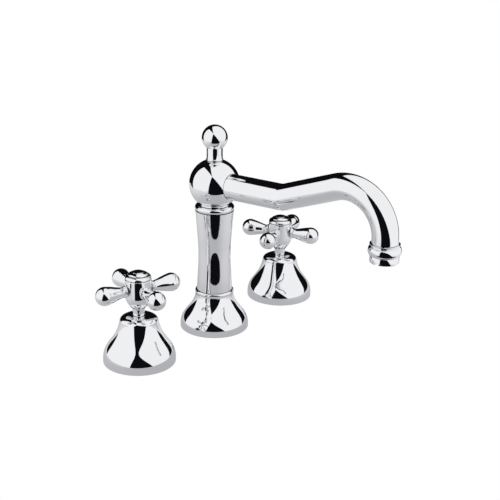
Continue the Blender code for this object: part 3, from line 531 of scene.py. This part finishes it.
def span(node_name):
    """Lowest and highest point of a node, and half its width along X."""
    low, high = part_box(node_name)
    return low.z, high.z, (high.x - low.x) / 2


GRUB_HEIGHT = (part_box("spout_grub_screw")[0].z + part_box("spout_grub_screw")[1].z) / 2
COLLAR_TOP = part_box("swivel_collar")[1].z
BALL_RADIUS = span("spout_ball")[2]
BALL_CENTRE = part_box("spout_ball")[1].z - math.sqrt(BALL_RADIUS**2 - KNOB_NECK**2)
SPOUT_REACH = -(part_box("aerator_housing")[0].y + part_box("aerator_housing")[1].y) / 2


# Clamps under the deck, the same under all three shanks

def clamp(prefix, x):
    for name, finish, edge in (("rubber_washer", "rubber", 0.6 * MM), ("steel_washer", "steel", 0.25 * MM)):
        low, high, radius = span(f"{prefix}_{name}")
        washer = ring(SHANK_BORE, radius, low, high, LARGE, edge)
        piece(f"{prefix}_{name}", moved(washer, x), finish, "mixer_base")
    low, high, _ = span(f"{prefix}_lock_nut")
    face = 0.9 * MM  # raised washer face of the nut
    nut = hex_ring(SHANK_BORE, NUT_FLATS, low, high - face)
    collar = ring(SHANK_BORE, NUT_FLATS / 2 - 1 * MM, high - face, high, LARGE, 0.2 * MM)
    piece(f"{prefix}_lock_nut", moved(joined(nut, collar), x), "brass", "mixer_base")


# Valves

def bell(prefix, x):
    _, high, radius = span(f"{prefix}_bell_escutcheon")
    wall = 2.3 * MM
    rim = 0.9 * MM
    neck = (16.5 * MM, high - 4.7 * MM)
    mouth = 5.7 * MM
    foot = (radius, 3.2 * MM)
    curve = (0.41, 0.416, 0.236)
    outer = arc((radius - rim, rim), (rim, rim), -90, 0, 6)
    outer += flare(foot, neck, *curve, 56)
    outer += arc((mouth + 0.4 * MM, neck[1]), (neck[0] - mouth - 0.4 * MM, high - neck[1]), 0, 90, 24)[1:]
    outer += [(mouth, high - 0.3 * MM)]
    inside = [(mouth, high - wall), (neck[0] - 2 * wall, high - wall)]
    inside += reversed(flare((radius - wall, foot[1]), (neck[0] - wall, neck[1] - wall), *curve, 24))
    inside += [(radius - wall, 0)]
    piece(f"{prefix}_bell_escutcheon", moved(lathe(outer + inside), x), "chrome", "mixer_base")
    low, high, radius = span(f"{prefix}_bell_seal")
    seal = ring(radius - 4 * MM, radius, low, high, LARGE, 0.4 * MM)
    piece(f"{prefix}_bell_seal", moved(seal, x), "rubber", "mixer_base")


def valve_body(prefix, x, side):
    low, top, collar = span(f"{prefix}_valve_body")
    shank = threaded(SHANK_RADIUS, 8.5 * MM, SHANK_PITCH, low, SHANK_TOP, SMALL)
    seat = 10 * MM
    wall = seat + 4.5 * MM
    bore = 6 * MM
    relief = SHANK_RADIUS - 1.2 * MM
    upper = [
        (bore, SHANK_TOP), (relief, SHANK_TOP), (relief, 0), (collar, 0), (collar, 5 * MM), (wall, 5 * MM),
        (wall, top), (seat, top), (seat, 7 * MM), (bore, 7 * MM),
    ]
    upper = soften(lathe(upper, SMALL), 0.35 * MM)
    piece(f"{prefix}_valve_body", moved(joined(shank, upper), x), "brass", "mixer_base")

    outlet_low, outlet_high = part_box(f"{prefix}_outlet_nipple")
    height = (outlet_low.z + outlet_high.z) / 2
    reach = max(abs(outlet_low.x - x), abs(outlet_high.x - x))
    face = SHANK_BORE
    thread = threaded(NIPPLE_RADIUS, NIPPLE_BORE, NIPPLE_PITCH, face + 3 * MM, reach)
    shoulder = hex_ring(NIPPLE_BORE, 15 * MM, face, face + 3 * MM, 0.2 * MM)
    spigot = ring(NIPPLE_BORE, 4.7 * MM, 6.3 * MM, face)
    nipple = lay(joined(thread, shoulder, spigot), (side, 0, 0), height)
    piece(f"{prefix}_outlet_nipple", moved(nipple, x), "brass", "mixer_base")

    grip_top = low - FIT
    grip = grip_top - 5 * MM
    low, high, _ = span(f"{prefix}_inlet_nipple")
    bore = 5 * MM
    thread = threaded(10 * MM, bore, NIPPLE_PITCH, low, grip - 1 * MM)
    groove = ring(bore, 8.6 * MM, grip - 1 * MM, grip)
    flats = hex_ring(bore, 24 * MM, grip, grip_top)
    stub = ring(bore, 8.2 * MM, grip_top, high)
    piece(f"{prefix}_inlet_nipple", moved(joined(thread, groove, flats, stub), x), "brass", "mixer_base")


def arm():
    """One club-shaped arm standing on Z: peg, bead, neck and round end."""
    root = 11.6 * MM
    reach = 31.6 * MM
    end = 8.05 * MM
    peg = 2.4 * MM
    peg_foot = root - 3.4 * MM
    outline = [(0, peg_foot), (peg, peg_foot), (peg, root)]
    outline += bead(5.3 * MM, 1.3 * MM, root, root + 2.6 * MM, 16)
    neck = (4.4 * MM, root + 3.2 * MM)
    tip = arc((0, reach), (end, end), -17, 90, 40)
    draw = tip[0][1] - neck[1]
    outline += arc((4.75 * MM, neck[1]), (0.35 * MM, 0.3 * MM), 240, 180, 3)[:-1]
    outline += bezier(
        neck, (neck[0] + 0.6 * MM, neck[1] + 0.3 * draw),
        (tip[0][0] - 0.9 * MM, tip[0][1] - 0.4 * draw), tip[0], 16,
    )
    outline += tip[1:-1] + [(0, tip[-1][1])]
    return lathe(outline, SMALL)


def handle(prefix, x, turn):
    body = f"{prefix}_handle"
    foot, barrel_top, radius = span(f"{prefix}_handle_hub")
    bell_top = span(f"{prefix}_bell_escutcheon")[1]
    neck = 5.1 * MM
    neck_top = bell_top + 6 * MM
    cone = 11.6 * MM
    barrel_foot = neck_top + cone
    arm_height = barrel_foot + 5.7 * MM
    outline = [(neck, foot), (neck, neck_top - 1.5 * MM)]
    outline += bezier(
        (neck, neck_top), (neck + 0.4 * (radius - neck), neck_top + 0.2 * cone),
        (radius, barrel_foot - 0.4 * cone), (radius, barrel_foot), 28,
    )
    edge = 0.5 * MM
    pocket = 6.2 * MM
    pocket_floor = barrel_top - 5.2 * MM
    socket = 3.6 * MM
    outline += [(radius, barrel_foot + 2 * MM), (radius, barrel_top - 1.2 * MM)]
    outline += arc((radius - edge, barrel_top - edge), (edge, edge), 0, 90, 5)
    outline += [(radius - 1 * MM, barrel_top), (pocket, barrel_top), (pocket, pocket_floor)]
    outline += [(socket, pocket_floor), (socket, foot)]
    piece(f"{prefix}_handle_hub", moved(lathe(outline), x, turn=turn), "chrome", body)
    for number in range(len(SQUARE)):
        one = lay(arm(), (1, 0, 0), arm_height)
        one = moved(one, turn=90 * number + turn)
        piece(f"{prefix}_arm_{number + 1}", moved(one, x), "chrome", body)
    cap(prefix, x, radius, barrel_top + FIT)


def cap(prefix, x, radius, foot):
    """The cap ring, standing on the hub at foot, and the domed button with a grooved disc in it."""
    body = f"{prefix}_handle"
    low, ring_top, _ = span(f"{prefix}_cap_ring")
    shoulder = radius - 2.4 * MM
    bore = 4.3 * MM
    skirt = 5.9 * MM
    groove = radius - 0.4 * MM
    rise = foot + 0.7 * MM
    outline = [(bore, ring_top), (bore, low), (skirt, low), (skirt, foot)]
    outline += [(radius - 1 * MM, foot), (groove, foot + 0.1 * MM)]
    outline += [(groove, foot + 0.5 * MM), (radius - 0.1 * MM, foot + 0.6 * MM)]
    outline += arc((shoulder, rise), (radius - shoulder, ring_top - rise), 0, 80, 16)
    outline += [(shoulder + 0.1 * MM, ring_top), (shoulder - 0.2 * MM, ring_top)]
    piece(f"{prefix}_cap_ring", moved(lathe(outline), x), "chrome", body)

    low, top, _ = span(f"{prefix}_cap_button")
    base = ring_top + FIT
    dome = shoulder - FIT
    crown = 5.2 * MM
    outline = [(0, low), (4 * MM, low), (4 * MM, base), (dome - 0.2 * MM, base), (dome, base + 0.2 * MM)]
    outline += bezier(
        (dome, base + 0.3 * MM), (dome - 0.2 * MM, base + 1.1 * MM), (crown + 1.6 * MM, top - 0.9 * MM),
        (crown + 0.1 * MM, top - 0.35 * MM), 16,
    )[1:]
    groove_floor = top - 0.55 * MM
    outline += [(crown, groove_floor), (crown - 0.25 * MM, groove_floor)]
    outline += [(crown - 0.3 * MM, top - 0.15 * MM), (crown - 0.5 * MM, top), (0, top)]
    piece(f"{prefix}_cap_button", moved(lathe(outline), x), "chrome", body)


def valve(prefix, turn):
    x = axis_of(f"{prefix}_bell_escutcheon")
    bell(prefix, x)
    valve_body(prefix, x, -1 if x > 0 else 1)
    clamp(prefix, x)
    handle(prefix, x, turn)


# Centre column

def base_flange():
    _, high, radius = span("base_flange")
    top = (17.3 * MM, 32.2 * MM)
    bore = 13 * MM
    rim = 0.9 * MM
    wall = 2.4 * MM
    foot = 2.6 * MM
    outer = arc((radius - rim, rim), (rim, rim), -90, 0, 6)
    outer += flare((radius, foot), top, 0.433, 0.493, 0.173, 52)
    outer += [(top[0] - 0.5 * MM, top[1] + 0.1 * MM)]
    outer += bead(17.7 * MM, 1.1 * MM, top[1] + FIT, high)
    outer += [(16.2 * MM, high)]
    inside = [(bore, high)]
    inside += reversed(flare((radius - wall, foot), (bore, top[1] - wall), 0.433, 0.4, 0.1, 24))
    inside += [(radius - wall, 0)]
    piece("base_flange", lathe(outer + inside), "chrome", "mixer_base")
    low, high, radius = span("base_gasket")
    piece("base_gasket", ring(17.8 * MM, radius, low, high, LARGE, 0.4 * MM), "rubber", "mixer_base")


def waist(foot, top, steps=76):
    """The sleeve's wall from foot to top, drawn in to a waist by how far it leans at each height."""
    heights = [foot + (top - foot) * n / steps for n in range(steps + 1)]
    slopes = []
    for height in heights:
        level = height / MM
        low, high = next(pair for pair in zip(SLEEVE_TILTS, SLEEVE_TILTS[1:]) if level <= pair[1][0])
        share = (level - low[0]) / (high[0] - low[0])
        slopes.append(-math.tan(math.radians(low[1] + share * (high[1] - low[1]))))
    radii = [0.0]
    for n in range(steps):
        radii.append(radii[-1] + (slopes[n] + slopes[n + 1]) / 2 * (heights[n + 1] - heights[n]))
    shift = WAIST_RADIUS - radii[round((WAIST_HEIGHT - foot) / (top - foot) * steps)]
    return [(radius + shift, height) for radius, height in zip(radii, heights)]


def column():
    foot, top, _ = span("column_sleeve")
    bore = 13 * MM
    outline = waist(foot, top) + [(bore, top), (bore, foot)]
    grub_bore = 1.8 * MM
    drill = lathe([(0, 9 * MM), (grub_bore, 9 * MM), (grub_bore, 20 * MM), (0, 20 * MM)], 32)
    sleeve = cut(lathe(outline), lay(drill, (0, 1, 0), GRUB_HEIGHT))
    piece("column_sleeve", sleeve, "chrome", "mixer_base")

    low, high, _ = span("supply_stem")
    bore = 7.5 * MM
    shank = threaded(SHANK_RADIUS, bore, SHANK_PITCH, low, SHANK_TOP, SMALL)
    floor = high - 25 * MM + 2.6 * MM - 2 * MM  # of the socket that the swivel bush sits in
    relief = SHANK_RADIUS - 1.2 * MM
    collar = 17.5 * MM
    pipe = 10.5 * MM
    socket = 10.9 * MM
    wall = 12.7 * MM
    upper = [
        (bore, SHANK_TOP), (relief, SHANK_TOP), (relief, 0), (collar, 0), (collar, 5 * MM), (pipe, 5 * MM),
        (pipe, floor - 4 * MM), (wall, floor - 2 * MM), (wall, high), (socket, high), (socket, floor),
        (bore, floor),
    ]
    piece("supply_stem", joined(shank, soften(lathe(upper, SMALL), 0.3 * MM)), "brass", "mixer_base")

    low, high, radius = span("swivel_collar")
    outline = [(9.5 * MM, high), (9.5 * MM, low), (radius - 2 * MM, low)]
    outline += bead(radius, 1.5 * MM, low, high) + [(radius - 2 * MM, high)]
    piece("swivel_collar", lathe(outline), "chrome", "mixer_base")

    low, high, radius = span("swivel_oring")
    thick = (high - low) / 2
    section = arc((radius - thick, (low + high) / 2), (thick, thick), 0, 360, 24)[:-1]
    piece("swivel_oring", lathe(section, SMALL), "rubber", "mixer_base")
    low, high, radius = span("swivel_bush")
    piece("swivel_bush", ring(9.3 * MM, radius, low, high, SMALL), "nylon", "mixer_base")


def grub_screw():
    low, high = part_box("spout_grub_screw")
    radius = (high.x - low.x) / 2
    socket = 0.75 * MM  # half the width across the flats of its hexagon
    outline = [(0, low.y), (radius - 0.5 * MM, low.y), (radius, low.y + 0.5 * MM)]
    outline += [(radius, high.y - 0.2 * MM), (radius - 0.2 * MM, high.y), (socket, high.y)]
    outline += [(socket, high.y - 1.5 * MM), (0, high.y - 1.6 * MM)]
    screw = lathe(outline, 48)
    for point in screw.verts:
        size = math.hypot(point.co.x, point.co.y)
        if 0.5 * MM < size < 0.8 * MM:
            angle = math.atan2(point.co.y, point.co.x) % math.radians(60) - math.radians(30)
            scale = socket / math.cos(angle) / size
            point.co.x *= scale
            point.co.y *= scale
    piece("spout_grub_screw", lay(screw, (0, 1, 0), GRUB_HEIGHT), "steel", "mixer_base")


def supply_tee():
    low, high, reach = span("supply_tee")
    radius = 17 * MM
    floor = low + 5 * MM
    ceiling = high - 7 * MM - FIT
    middle = (ceiling + floor) / 2
    grip_foot = high - 9 * MM
    guide_hole = 4.9 * MM
    chamber = 9 * MM
    branch_end = 20.5 * MM
    grip = hex_ring(SHANK_BORE, 2 * (radius - 0.6 * MM), grip_foot, high)
    bulb = bezier(
        (radius - 2 * MM, low), (radius + 1 * MM, low + 3 * MM),
        (radius + 1 * MM, high - 13 * MM), (radius - 1 * MM, grip_foot), 20,
    )
    outline = [(guide_hole, low)] + bulb
    outline += [(SHANK_BORE, grip_foot), (chamber, ceiling), (chamber, floor), (guide_hole, floor)]
    body = soften(lathe(outline, SMALL), 0.5 * MM)
    parts = [body, grip]
    for side in (-1, 1):
        branch = ring(NIPPLE_BORE, 8.2 * MM, 12 * MM, branch_end, BORED, 0.5 * MM)
        thread = threaded(NIPPLE_RADIUS, NIPPLE_BORE, NIPPLE_PITCH, branch_end, reach)
        parts.append(lay(joined(branch, thread), (side, 0, 0), middle))
    piece("supply_tee", joined(*parts), "brass", "mixer_base")
    low, high, radius = span("rod_guide")
    piece("rod_guide", ring(3 * MM, radius, low, high, BORED), "brass", "mixer_base")


# Spout

def spout_ball():
    low, top, radius = span("spout_ball")
    centre = BALL_CENTRE
    neck_foot = COLLAR_TOP + FIT
    tail = 9 * MM
    start = math.degrees(math.asin((neck_foot + 1.2 * MM - centre) / radius))
    stop = math.degrees(math.acos(KNOB_NECK / radius))
    outline = [(7 * MM, low), (tail, low), (tail, neck_foot), (13.7 * MM, neck_foot)]
    outline += [(14.0 * MM, neck_foot + 0.35 * MM), (13.85 * MM, neck_foot + 0.9 * MM)]
    outline += arc((0, centre), (radius, radius), start, stop, 84)
    outline += [(5.1 * MM, top)]
    hollow = 14.5 * MM
    outline += arc((0, centre), (hollow, hollow), 69, -61, 24)
    ball = lathe(outline, 160)
    bore = 8.7 * MM
    socket = 11.85 * MM
    socket_floor = 16 * MM
    port = [(0, 7 * MM), (bore, 7 * MM), (bore, socket_floor), (socket, socket_floor)]
    port += [(socket, radius + 2 * MM), (0, radius + 2 * MM)]
    root = math.radians(SPOUT_ROOT_RISE)
    ball = cut(ball, lay(lathe(port, LARGE), (0, -math.cos(root), math.sin(root)), centre))
    piece("spout_ball", ball, "chrome", "spout")


def spout_path():
    """Stations (reach, height, slope in degrees) along the tube's centreline, root to tip."""
    rise = math.radians(SPOUT_RISE)
    root = math.radians(SPOUT_ROOT_RISE)
    centre = (SPOUT_REACH - CROWN_RADIUS, BALL_CENTRE - CROWN_DROP)
    crown = (centre[0] - CROWN_RADIUS * math.sin(rise), centre[1] + CROWN_RADIUS * math.cos(rise))
    kink = (BALL_CENTRE - crown[1] + crown[0] * math.tan(rise)) / (math.tan(rise) - math.tan(root))
    tangent = KINK_RADIUS * math.tan((rise - root) / 2)
    start = 16.3 * MM
    stations = []
    lead = (kink - tangent) * math.cos(root)
    for step in range(12):
        along = start + (lead - start) * step / 12
        stations.append((along, BALL_CENTRE + along * math.tan(root), SPOUT_ROOT_RISE))
    bend = (lead, BALL_CENTRE + lead * math.tan(root))
    bend_centre = (bend[0] - KINK_RADIUS * math.sin(root), bend[1] + KINK_RADIUS * math.cos(root))
    for step in range(9):
        slope = SPOUT_ROOT_RISE + (SPOUT_RISE - SPOUT_ROOT_RISE) * step / 8
        angle = math.radians(slope)
        stations.append((
            bend_centre[0] + KINK_RADIUS * math.sin(angle),
            bend_centre[1] - KINK_RADIUS * math.cos(angle), slope,
        ))
    last = stations[-1]
    for step in range(1, 10):
        along = last[0] + (crown[0] - last[0]) * step / 10
        stations.append((along, last[1] + (crown[1] - last[1]) * step / 10, SPOUT_RISE))
    for step in range(57):
        slope = SPOUT_RISE - (SPOUT_RISE + 90) * step / 56
        angle = math.radians(slope)
        stations.append((
            centre[0] - CROWN_RADIUS * math.sin(angle), centre[1] + CROWN_RADIUS * math.cos(angle), slope,
        ))
    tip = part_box("spout_tube")[0].z
    for step in range(1, 4):
        stations.append((SPOUT_REACH, centre[1] + (tip - centre[1]) * step / 3, -90))
    return stations


def spout_tube():
    """The tube, drawn station by station along its path, outside to the tip and back up the bore."""
    stations = spout_path()
    lengths = [0.0]
    for a, b in zip(stations, stations[1:]):
        lengths.append(lengths[-1] + math.hypot(b[0] - a[0], b[1] - a[1]))

    def stand(number, wall):
        reach, height, slope = stations[number]
        radius = (11.6 - 0.6 * lengths[number] / lengths[-1]) * MM - wall
        turn = Matrix.Rotation(math.radians(90 - slope), 4, "X")
        return Matrix.Translation((0, -reach, height)) @ turn @ Matrix.Diagonal((radius, radius, 1, 1))

    mesh = bmesh.new()
    bmesh.ops.create_circle(mesh, cap_ends=False, segments=96, radius=1.0)
    count = len(stations)
    places = [stand(number, 0) for number in range(count)]
    places += [stand(number, 2.9 * MM) for number in reversed(range(count))]
    bmesh.ops.transform(mesh, matrix=places[0], verts=mesh.verts)
    first = mesh.edges[:]
    rim = first
    for before, after in zip(places, places[1:]):
        made = bmesh.ops.extrude_edge_only(mesh, edges=rim)["geom"]
        rim = [e for e in made if isinstance(e, bmesh.types.BMEdge)]
        points = [v for v in made if isinstance(v, bmesh.types.BMVert)]
        bmesh.ops.transform(mesh, matrix=after @ before.inverted(), verts=points)
    bmesh.ops.bridge_loops(mesh, edges=first + rim)
    bmesh.ops.recalc_face_normals(mesh, faces=mesh.faces)
    piece("spout_tube", mesh, "chrome", "spout")


def nozzle():
    _, high, radius = span("nozzle_ring")
    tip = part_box("spout_tube")[0].z - FIT
    collar = tip - 2.2 * MM
    bead_foot = collar - 7.2 * MM
    bore = 6.2 * MM
    spigot = 7.8 * MM
    thread_bore = 10.3 * MM
    thread_roof = bead_foot + 4.6 * MM
    neck = 11.7 * MM
    outline = [(bore, high), (bore, thread_roof), (thread_bore, thread_roof)]
    outline += [(thread_bore, bead_foot), (radius - 2.2 * MM, bead_foot)]
    outline += bead(radius, 1.7 * MM, bead_foot, collar - 0.2 * MM, 24)
    outline += [(neck, collar)]
    outline += bezier(
        (neck, collar), (11.8 * MM, collar + 0.8 * MM),
        (12.3 * MM, tip - 0.9 * MM), (12.5 * MM, tip - 0.35 * MM), 8,
    )[1:]
    outline += [(12.45 * MM, tip - 0.1 * MM), (12.2 * MM, tip), (spigot, tip), (spigot, high)]
    piece("nozzle_ring", moved(lathe(outline), y=-SPOUT_REACH), "chrome", "spout")

    foot, thread_top, radius = span("aerator_housing")
    rim = bead_foot - FIT
    outline = [
        (7.8 * MM, foot), (radius - 0.9 * MM, foot), (radius - 0.45 * MM, foot + 0.12 * MM),
        (radius - 0.12 * MM, foot + 0.45 * MM), (radius, foot + 0.9 * MM), (radius, rim - 0.5 * MM),
        (radius - 0.2 * MM, rim - 0.2 * MM), (radius - 0.5 * MM, rim), (10 * MM, rim), (10 * MM, thread_top),
        (8.8 * MM, thread_top), (8.8 * MM, foot + 1 * MM), (7.8 * MM, foot + 1 * MM),
    ]
    slots = []
    for direction in SQUARE:
        slot = bmesh.new()
        bmesh.ops.create_cube(slot, size=1)
        bmesh.ops.scale(slot, vec=(3.4 * MM, 3.6 * MM, 6.4 * MM), verts=slot.verts)
        bmesh.ops.translate(slot, vec=(0, 0, 10.8 * MM), verts=slot.verts)
        slots.append(lay(slot, direction, foot))
    housing = cut(lathe(outline), joined(*slots))
    piece("aerator_housing", moved(housing, y=-SPOUT_REACH), "chrome", "spout")

    aerator_core()


def aerator_core():
    low, high, radius = span("aerator_core")
    inner_wall = radius - 1.2 * MM
    web_foot = low + 2.2 * MM
    web_top = low + 3 * MM
    shell = [
        (inner_wall, low), (radius, low), (radius, high), (inner_wall, high),
        (inner_wall, web_top), (0, web_top), (0, web_foot), (inner_wall, web_foot),
    ]
    parts = [soften(lathe(shell, SMALL), 0.15 * MM)]
    for inner in (1.2, 3.0, 4.8, 6.4):
        parts.append(ring(inner * MM, (inner + 0.6) * MM, low, low + 2.4 * MM, BORED, 0.1 * MM))
    for number in range(12):
        rib = bmesh.new()
        bmesh.ops.create_cube(rib, size=1)
        bmesh.ops.scale(rib, vec=(0.5 * MM, 6.2 * MM, 1.6 * MM), verts=rib.verts)
        bmesh.ops.translate(rib, vec=(0, 4.4 * MM, low + 1.4 * MM), verts=rib.verts)
        parts.append(moved(rib, turn=30 * number))
    piece("aerator_core", moved(joined(*parts), y=-SPOUT_REACH), "nylon", "spout")


def lift_knob():
    low, top, radius = span("lift_knob")
    centre = top - radius
    neck = KNOB_NECK
    rod_hole = 2.8 * MM
    outline = [(0, low + 14 * MM), (rod_hole, low + 14 * MM), (rod_hole, low)]
    outline += [(neck - 0.2 * MM, low)]
    outline += arc((neck - 0.1 * MM, low + 0.7 * MM), (0.5 * MM, 0.7 * MM), -70, 70, 8)
    outline += [(neck - 0.05 * MM, low + 1.6 * MM), (neck - 0.05 * MM, low + 6 * MM)]
    start = -math.degrees(math.acos(neck / radius))
    outline += arc((0, centre), (radius, radius), start, 90, 60)[:-1] + [(0, top)]
    piece("lift_knob", lathe(outline), "chrome", "lift")
    low, high, radius = span("lift_rod")
    rod = soften(lathe([(0, low), (radius, low), (radius, high), (0, high)], 32), 0.5 * MM)
    piece("lift_rod", rod, "steel", "lift")


valve("hot", HOT_TURN)
valve("cold", COLD_TURN)
base_flange()
column()
grub_screw()
clamp("spout", 0.0)
supply_tee()
spout_ball()
spout_tube()
nozzle()
lift_knob()

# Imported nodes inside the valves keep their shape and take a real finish
INNER = {
    "cartridge_body": "brass", "spindle": "brass", "handle_screw": "steel",
    "fixed_disc": "ceramic", "turning_disc": "ceramic",
}
for prefix in ("hot", "cold"):
    for name, finish in INNER.items():
        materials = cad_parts[f"{prefix}_{name}"].data.materials
        materials.clear()
        materials.append(FINISHES[finish])


# Studio. Its points are (right, towards the camera, up) as the camera stands.

def studio_point(right, towards, up):
    a = math.radians(CAMERA_AZIMUTH)
    return (
        right * math.cos(a) + towards * math.sin(a), right * math.sin(a) - towards * math.cos(a), up,
    )


def emitter(name, colour, fade=None, mirrored=False):
    """A surface that only glows.

    A fade (direction, near, far, colour) leads to another colour from near to far along a direction,
    and the same way against it when mirrored.
    """
    material = bpy.data.materials.new(name)
    material.use_nodes = True
    tree = material.node_tree
    tree.nodes.clear()
    result = tree.nodes.new("ShaderNodeOutputMaterial")
    glow = node(tree, "ShaderNodeEmission", Color=(*colour, 1))
    tree.links.new(glow.outputs[0], result.inputs["Surface"])
    if fade:
        direction, near, far, other = fade
        place = node(tree, "ShaderNodeTexCoord").outputs["Object"]
        along = node(tree, "ShaderNodeVectorMath", [(place, 0)], operation="DOT_PRODUCT")
        along.inputs[1].default_value = direction
        reach = along.outputs["Value"]
        if mirrored:
            reach = arithmetic(tree, "ABSOLUTE", reach, 0.0)
        share = node(tree, "ShaderNodeMapRange", [(reach, "Value")], interpolation_type="SMOOTHSTEP")
        share.inputs["From Min"].default_value = near
        share.inputs["From Max"].default_value = far
        tree.links.new(blend_colour(tree, share.outputs["Result"], colour, other), glow.inputs["Color"])
    return material


def card(name, corners, material):
    """A flat card between corners given in studio points."""
    mesh = bmesh.new()
    mesh.faces.new([mesh.verts.new(studio_point(*corner)) for corner in corners])
    data = bpy.data.meshes.new(name)
    mesh.to_mesh(data)
    mesh.free()
    data.materials.append(material)
    thing = bpy.data.objects.new(name, data)
    bpy.context.scene.collection.objects.link(thing)
    return thing


def seen_from(centre, azimuth, elevation, distance):
    """A studio point in a direction from a centre, azimuth 0 towards the camera and 90 to its right."""
    a, e = math.radians(azimuth), math.radians(elevation)
    return (
        centre[0] + distance * math.sin(a) * math.cos(e),
        centre[1] + distance * math.cos(a) * math.cos(e), centre[2] + distance * math.sin(e),
    )


def studio():
    scene = bpy.context.scene
    heart = (0, 0, BALL_CENTRE)
    low_fade = ((0, 0, 1), 0.0, -0.22, (0.68, 0.68, 0.70))
    soft = emitter("softbox_white", (0.96, 0.96, 0.97), fade=low_fade)
    left = card("left_softbox", [
        seen_from(heart, -15, 45, 0.777), seen_from(heart, -121, 50, 0.80),
        seen_from(heart, -110, -26, 0.82), seen_from(heart, -30, -30, 0.835),
    ], soft)
    right = card("right_softbox", [
        seen_from(heart, -15, 45, 0.98), seen_from(heart, 50, -30, 1.056),
        seen_from(heart, 100, -20, 0.554), seen_from(heart, -159, 56, 1.056),
    ], soft)
    for lamp in (left, right):
        lamp.visible_camera = False
        lamp.visible_shadow = False

    # The table top is a glowing card standing in for a table lit by the softboxes. Its grey glow is painted
    # light, painted lighter towards both sides, and only the metal's reflections see it.
    painted_side_light = (studio_point(1, 0, 0), 0.03, 0.30, (0.76, 0.76, 0.78))
    table = card("table_top", [
        (x, y, -0.0006) for x, y in (
            (-0.36, 0.19), (-0.146, TABLE_FRONT - 0.002), (0, TABLE_FRONT), (0.10, TABLE_FRONT - 0.01),
            (0.19, TABLE_FRONT - 0.035), (0.42, 0.12), (0.45, -0.5), (-0.45, -0.5),
        )
    ], emitter("table_painted_light", (0.49, 0.49, 0.505), fade=painted_side_light, mirrored=True))
    table.visible_camera = False
    wide = card("pale_floor", [(-6, -6, -0.001), (6, -6, -0.001), (6, 6, -0.001), (-6, 6, -0.001)],
                emitter("floor_white", (1.0, 1.0, 1.0)))
    wide.visible_glossy = False
    wide.visible_diffuse = False
    wide.visible_shadow = False

    world = bpy.data.worlds.new("studio")
    scene.world = world
    world.use_nodes = True
    tree = world.node_tree
    tree.nodes.clear()
    path = tree.nodes.new("ShaderNodeLightPath")
    dark = node(tree, "ShaderNodeBackground", Color=(0.004, 0.004, 0.006, 1))
    white = node(tree, "ShaderNodeBackground", Color=(1, 1, 1, 1))
    mix = node(
        tree, "ShaderNodeMixShader",
        [(path.outputs["Is Camera Ray"], 0), (dark.outputs[0], 1), (white.outputs[0], 2)],
    )
    result = tree.nodes.new("ShaderNodeOutputWorld")
    tree.links.new(mix.outputs[0], result.inputs["Surface"])

    camera_data = bpy.data.cameras.new("camera")
    camera_data.lens = LENS
    camera_data.sensor_width = 36
    camera_data.shift_x, camera_data.shift_y = SHIFT
    camera_data.clip_start, camera_data.clip_end = 0.05, 50
    camera = bpy.data.objects.new("camera", camera_data)
    scene.collection.objects.link(camera)
    camera.matrix_world = (
        Matrix.Translation(CAMERA_PLACE)
        @ Matrix.Rotation(math.radians(CAMERA_AZIMUTH), 4, "Z")
        @ Matrix.Rotation(math.radians(90 - CAMERA_ELEVATION), 4, "X")
        @ Matrix.Rotation(math.radians(CAMERA_ROLL), 4, "Z")
    )
    scene.camera = camera
    scene.view_settings.view_transform = "Standard"
    scene.view_settings.look = "None"


studio()
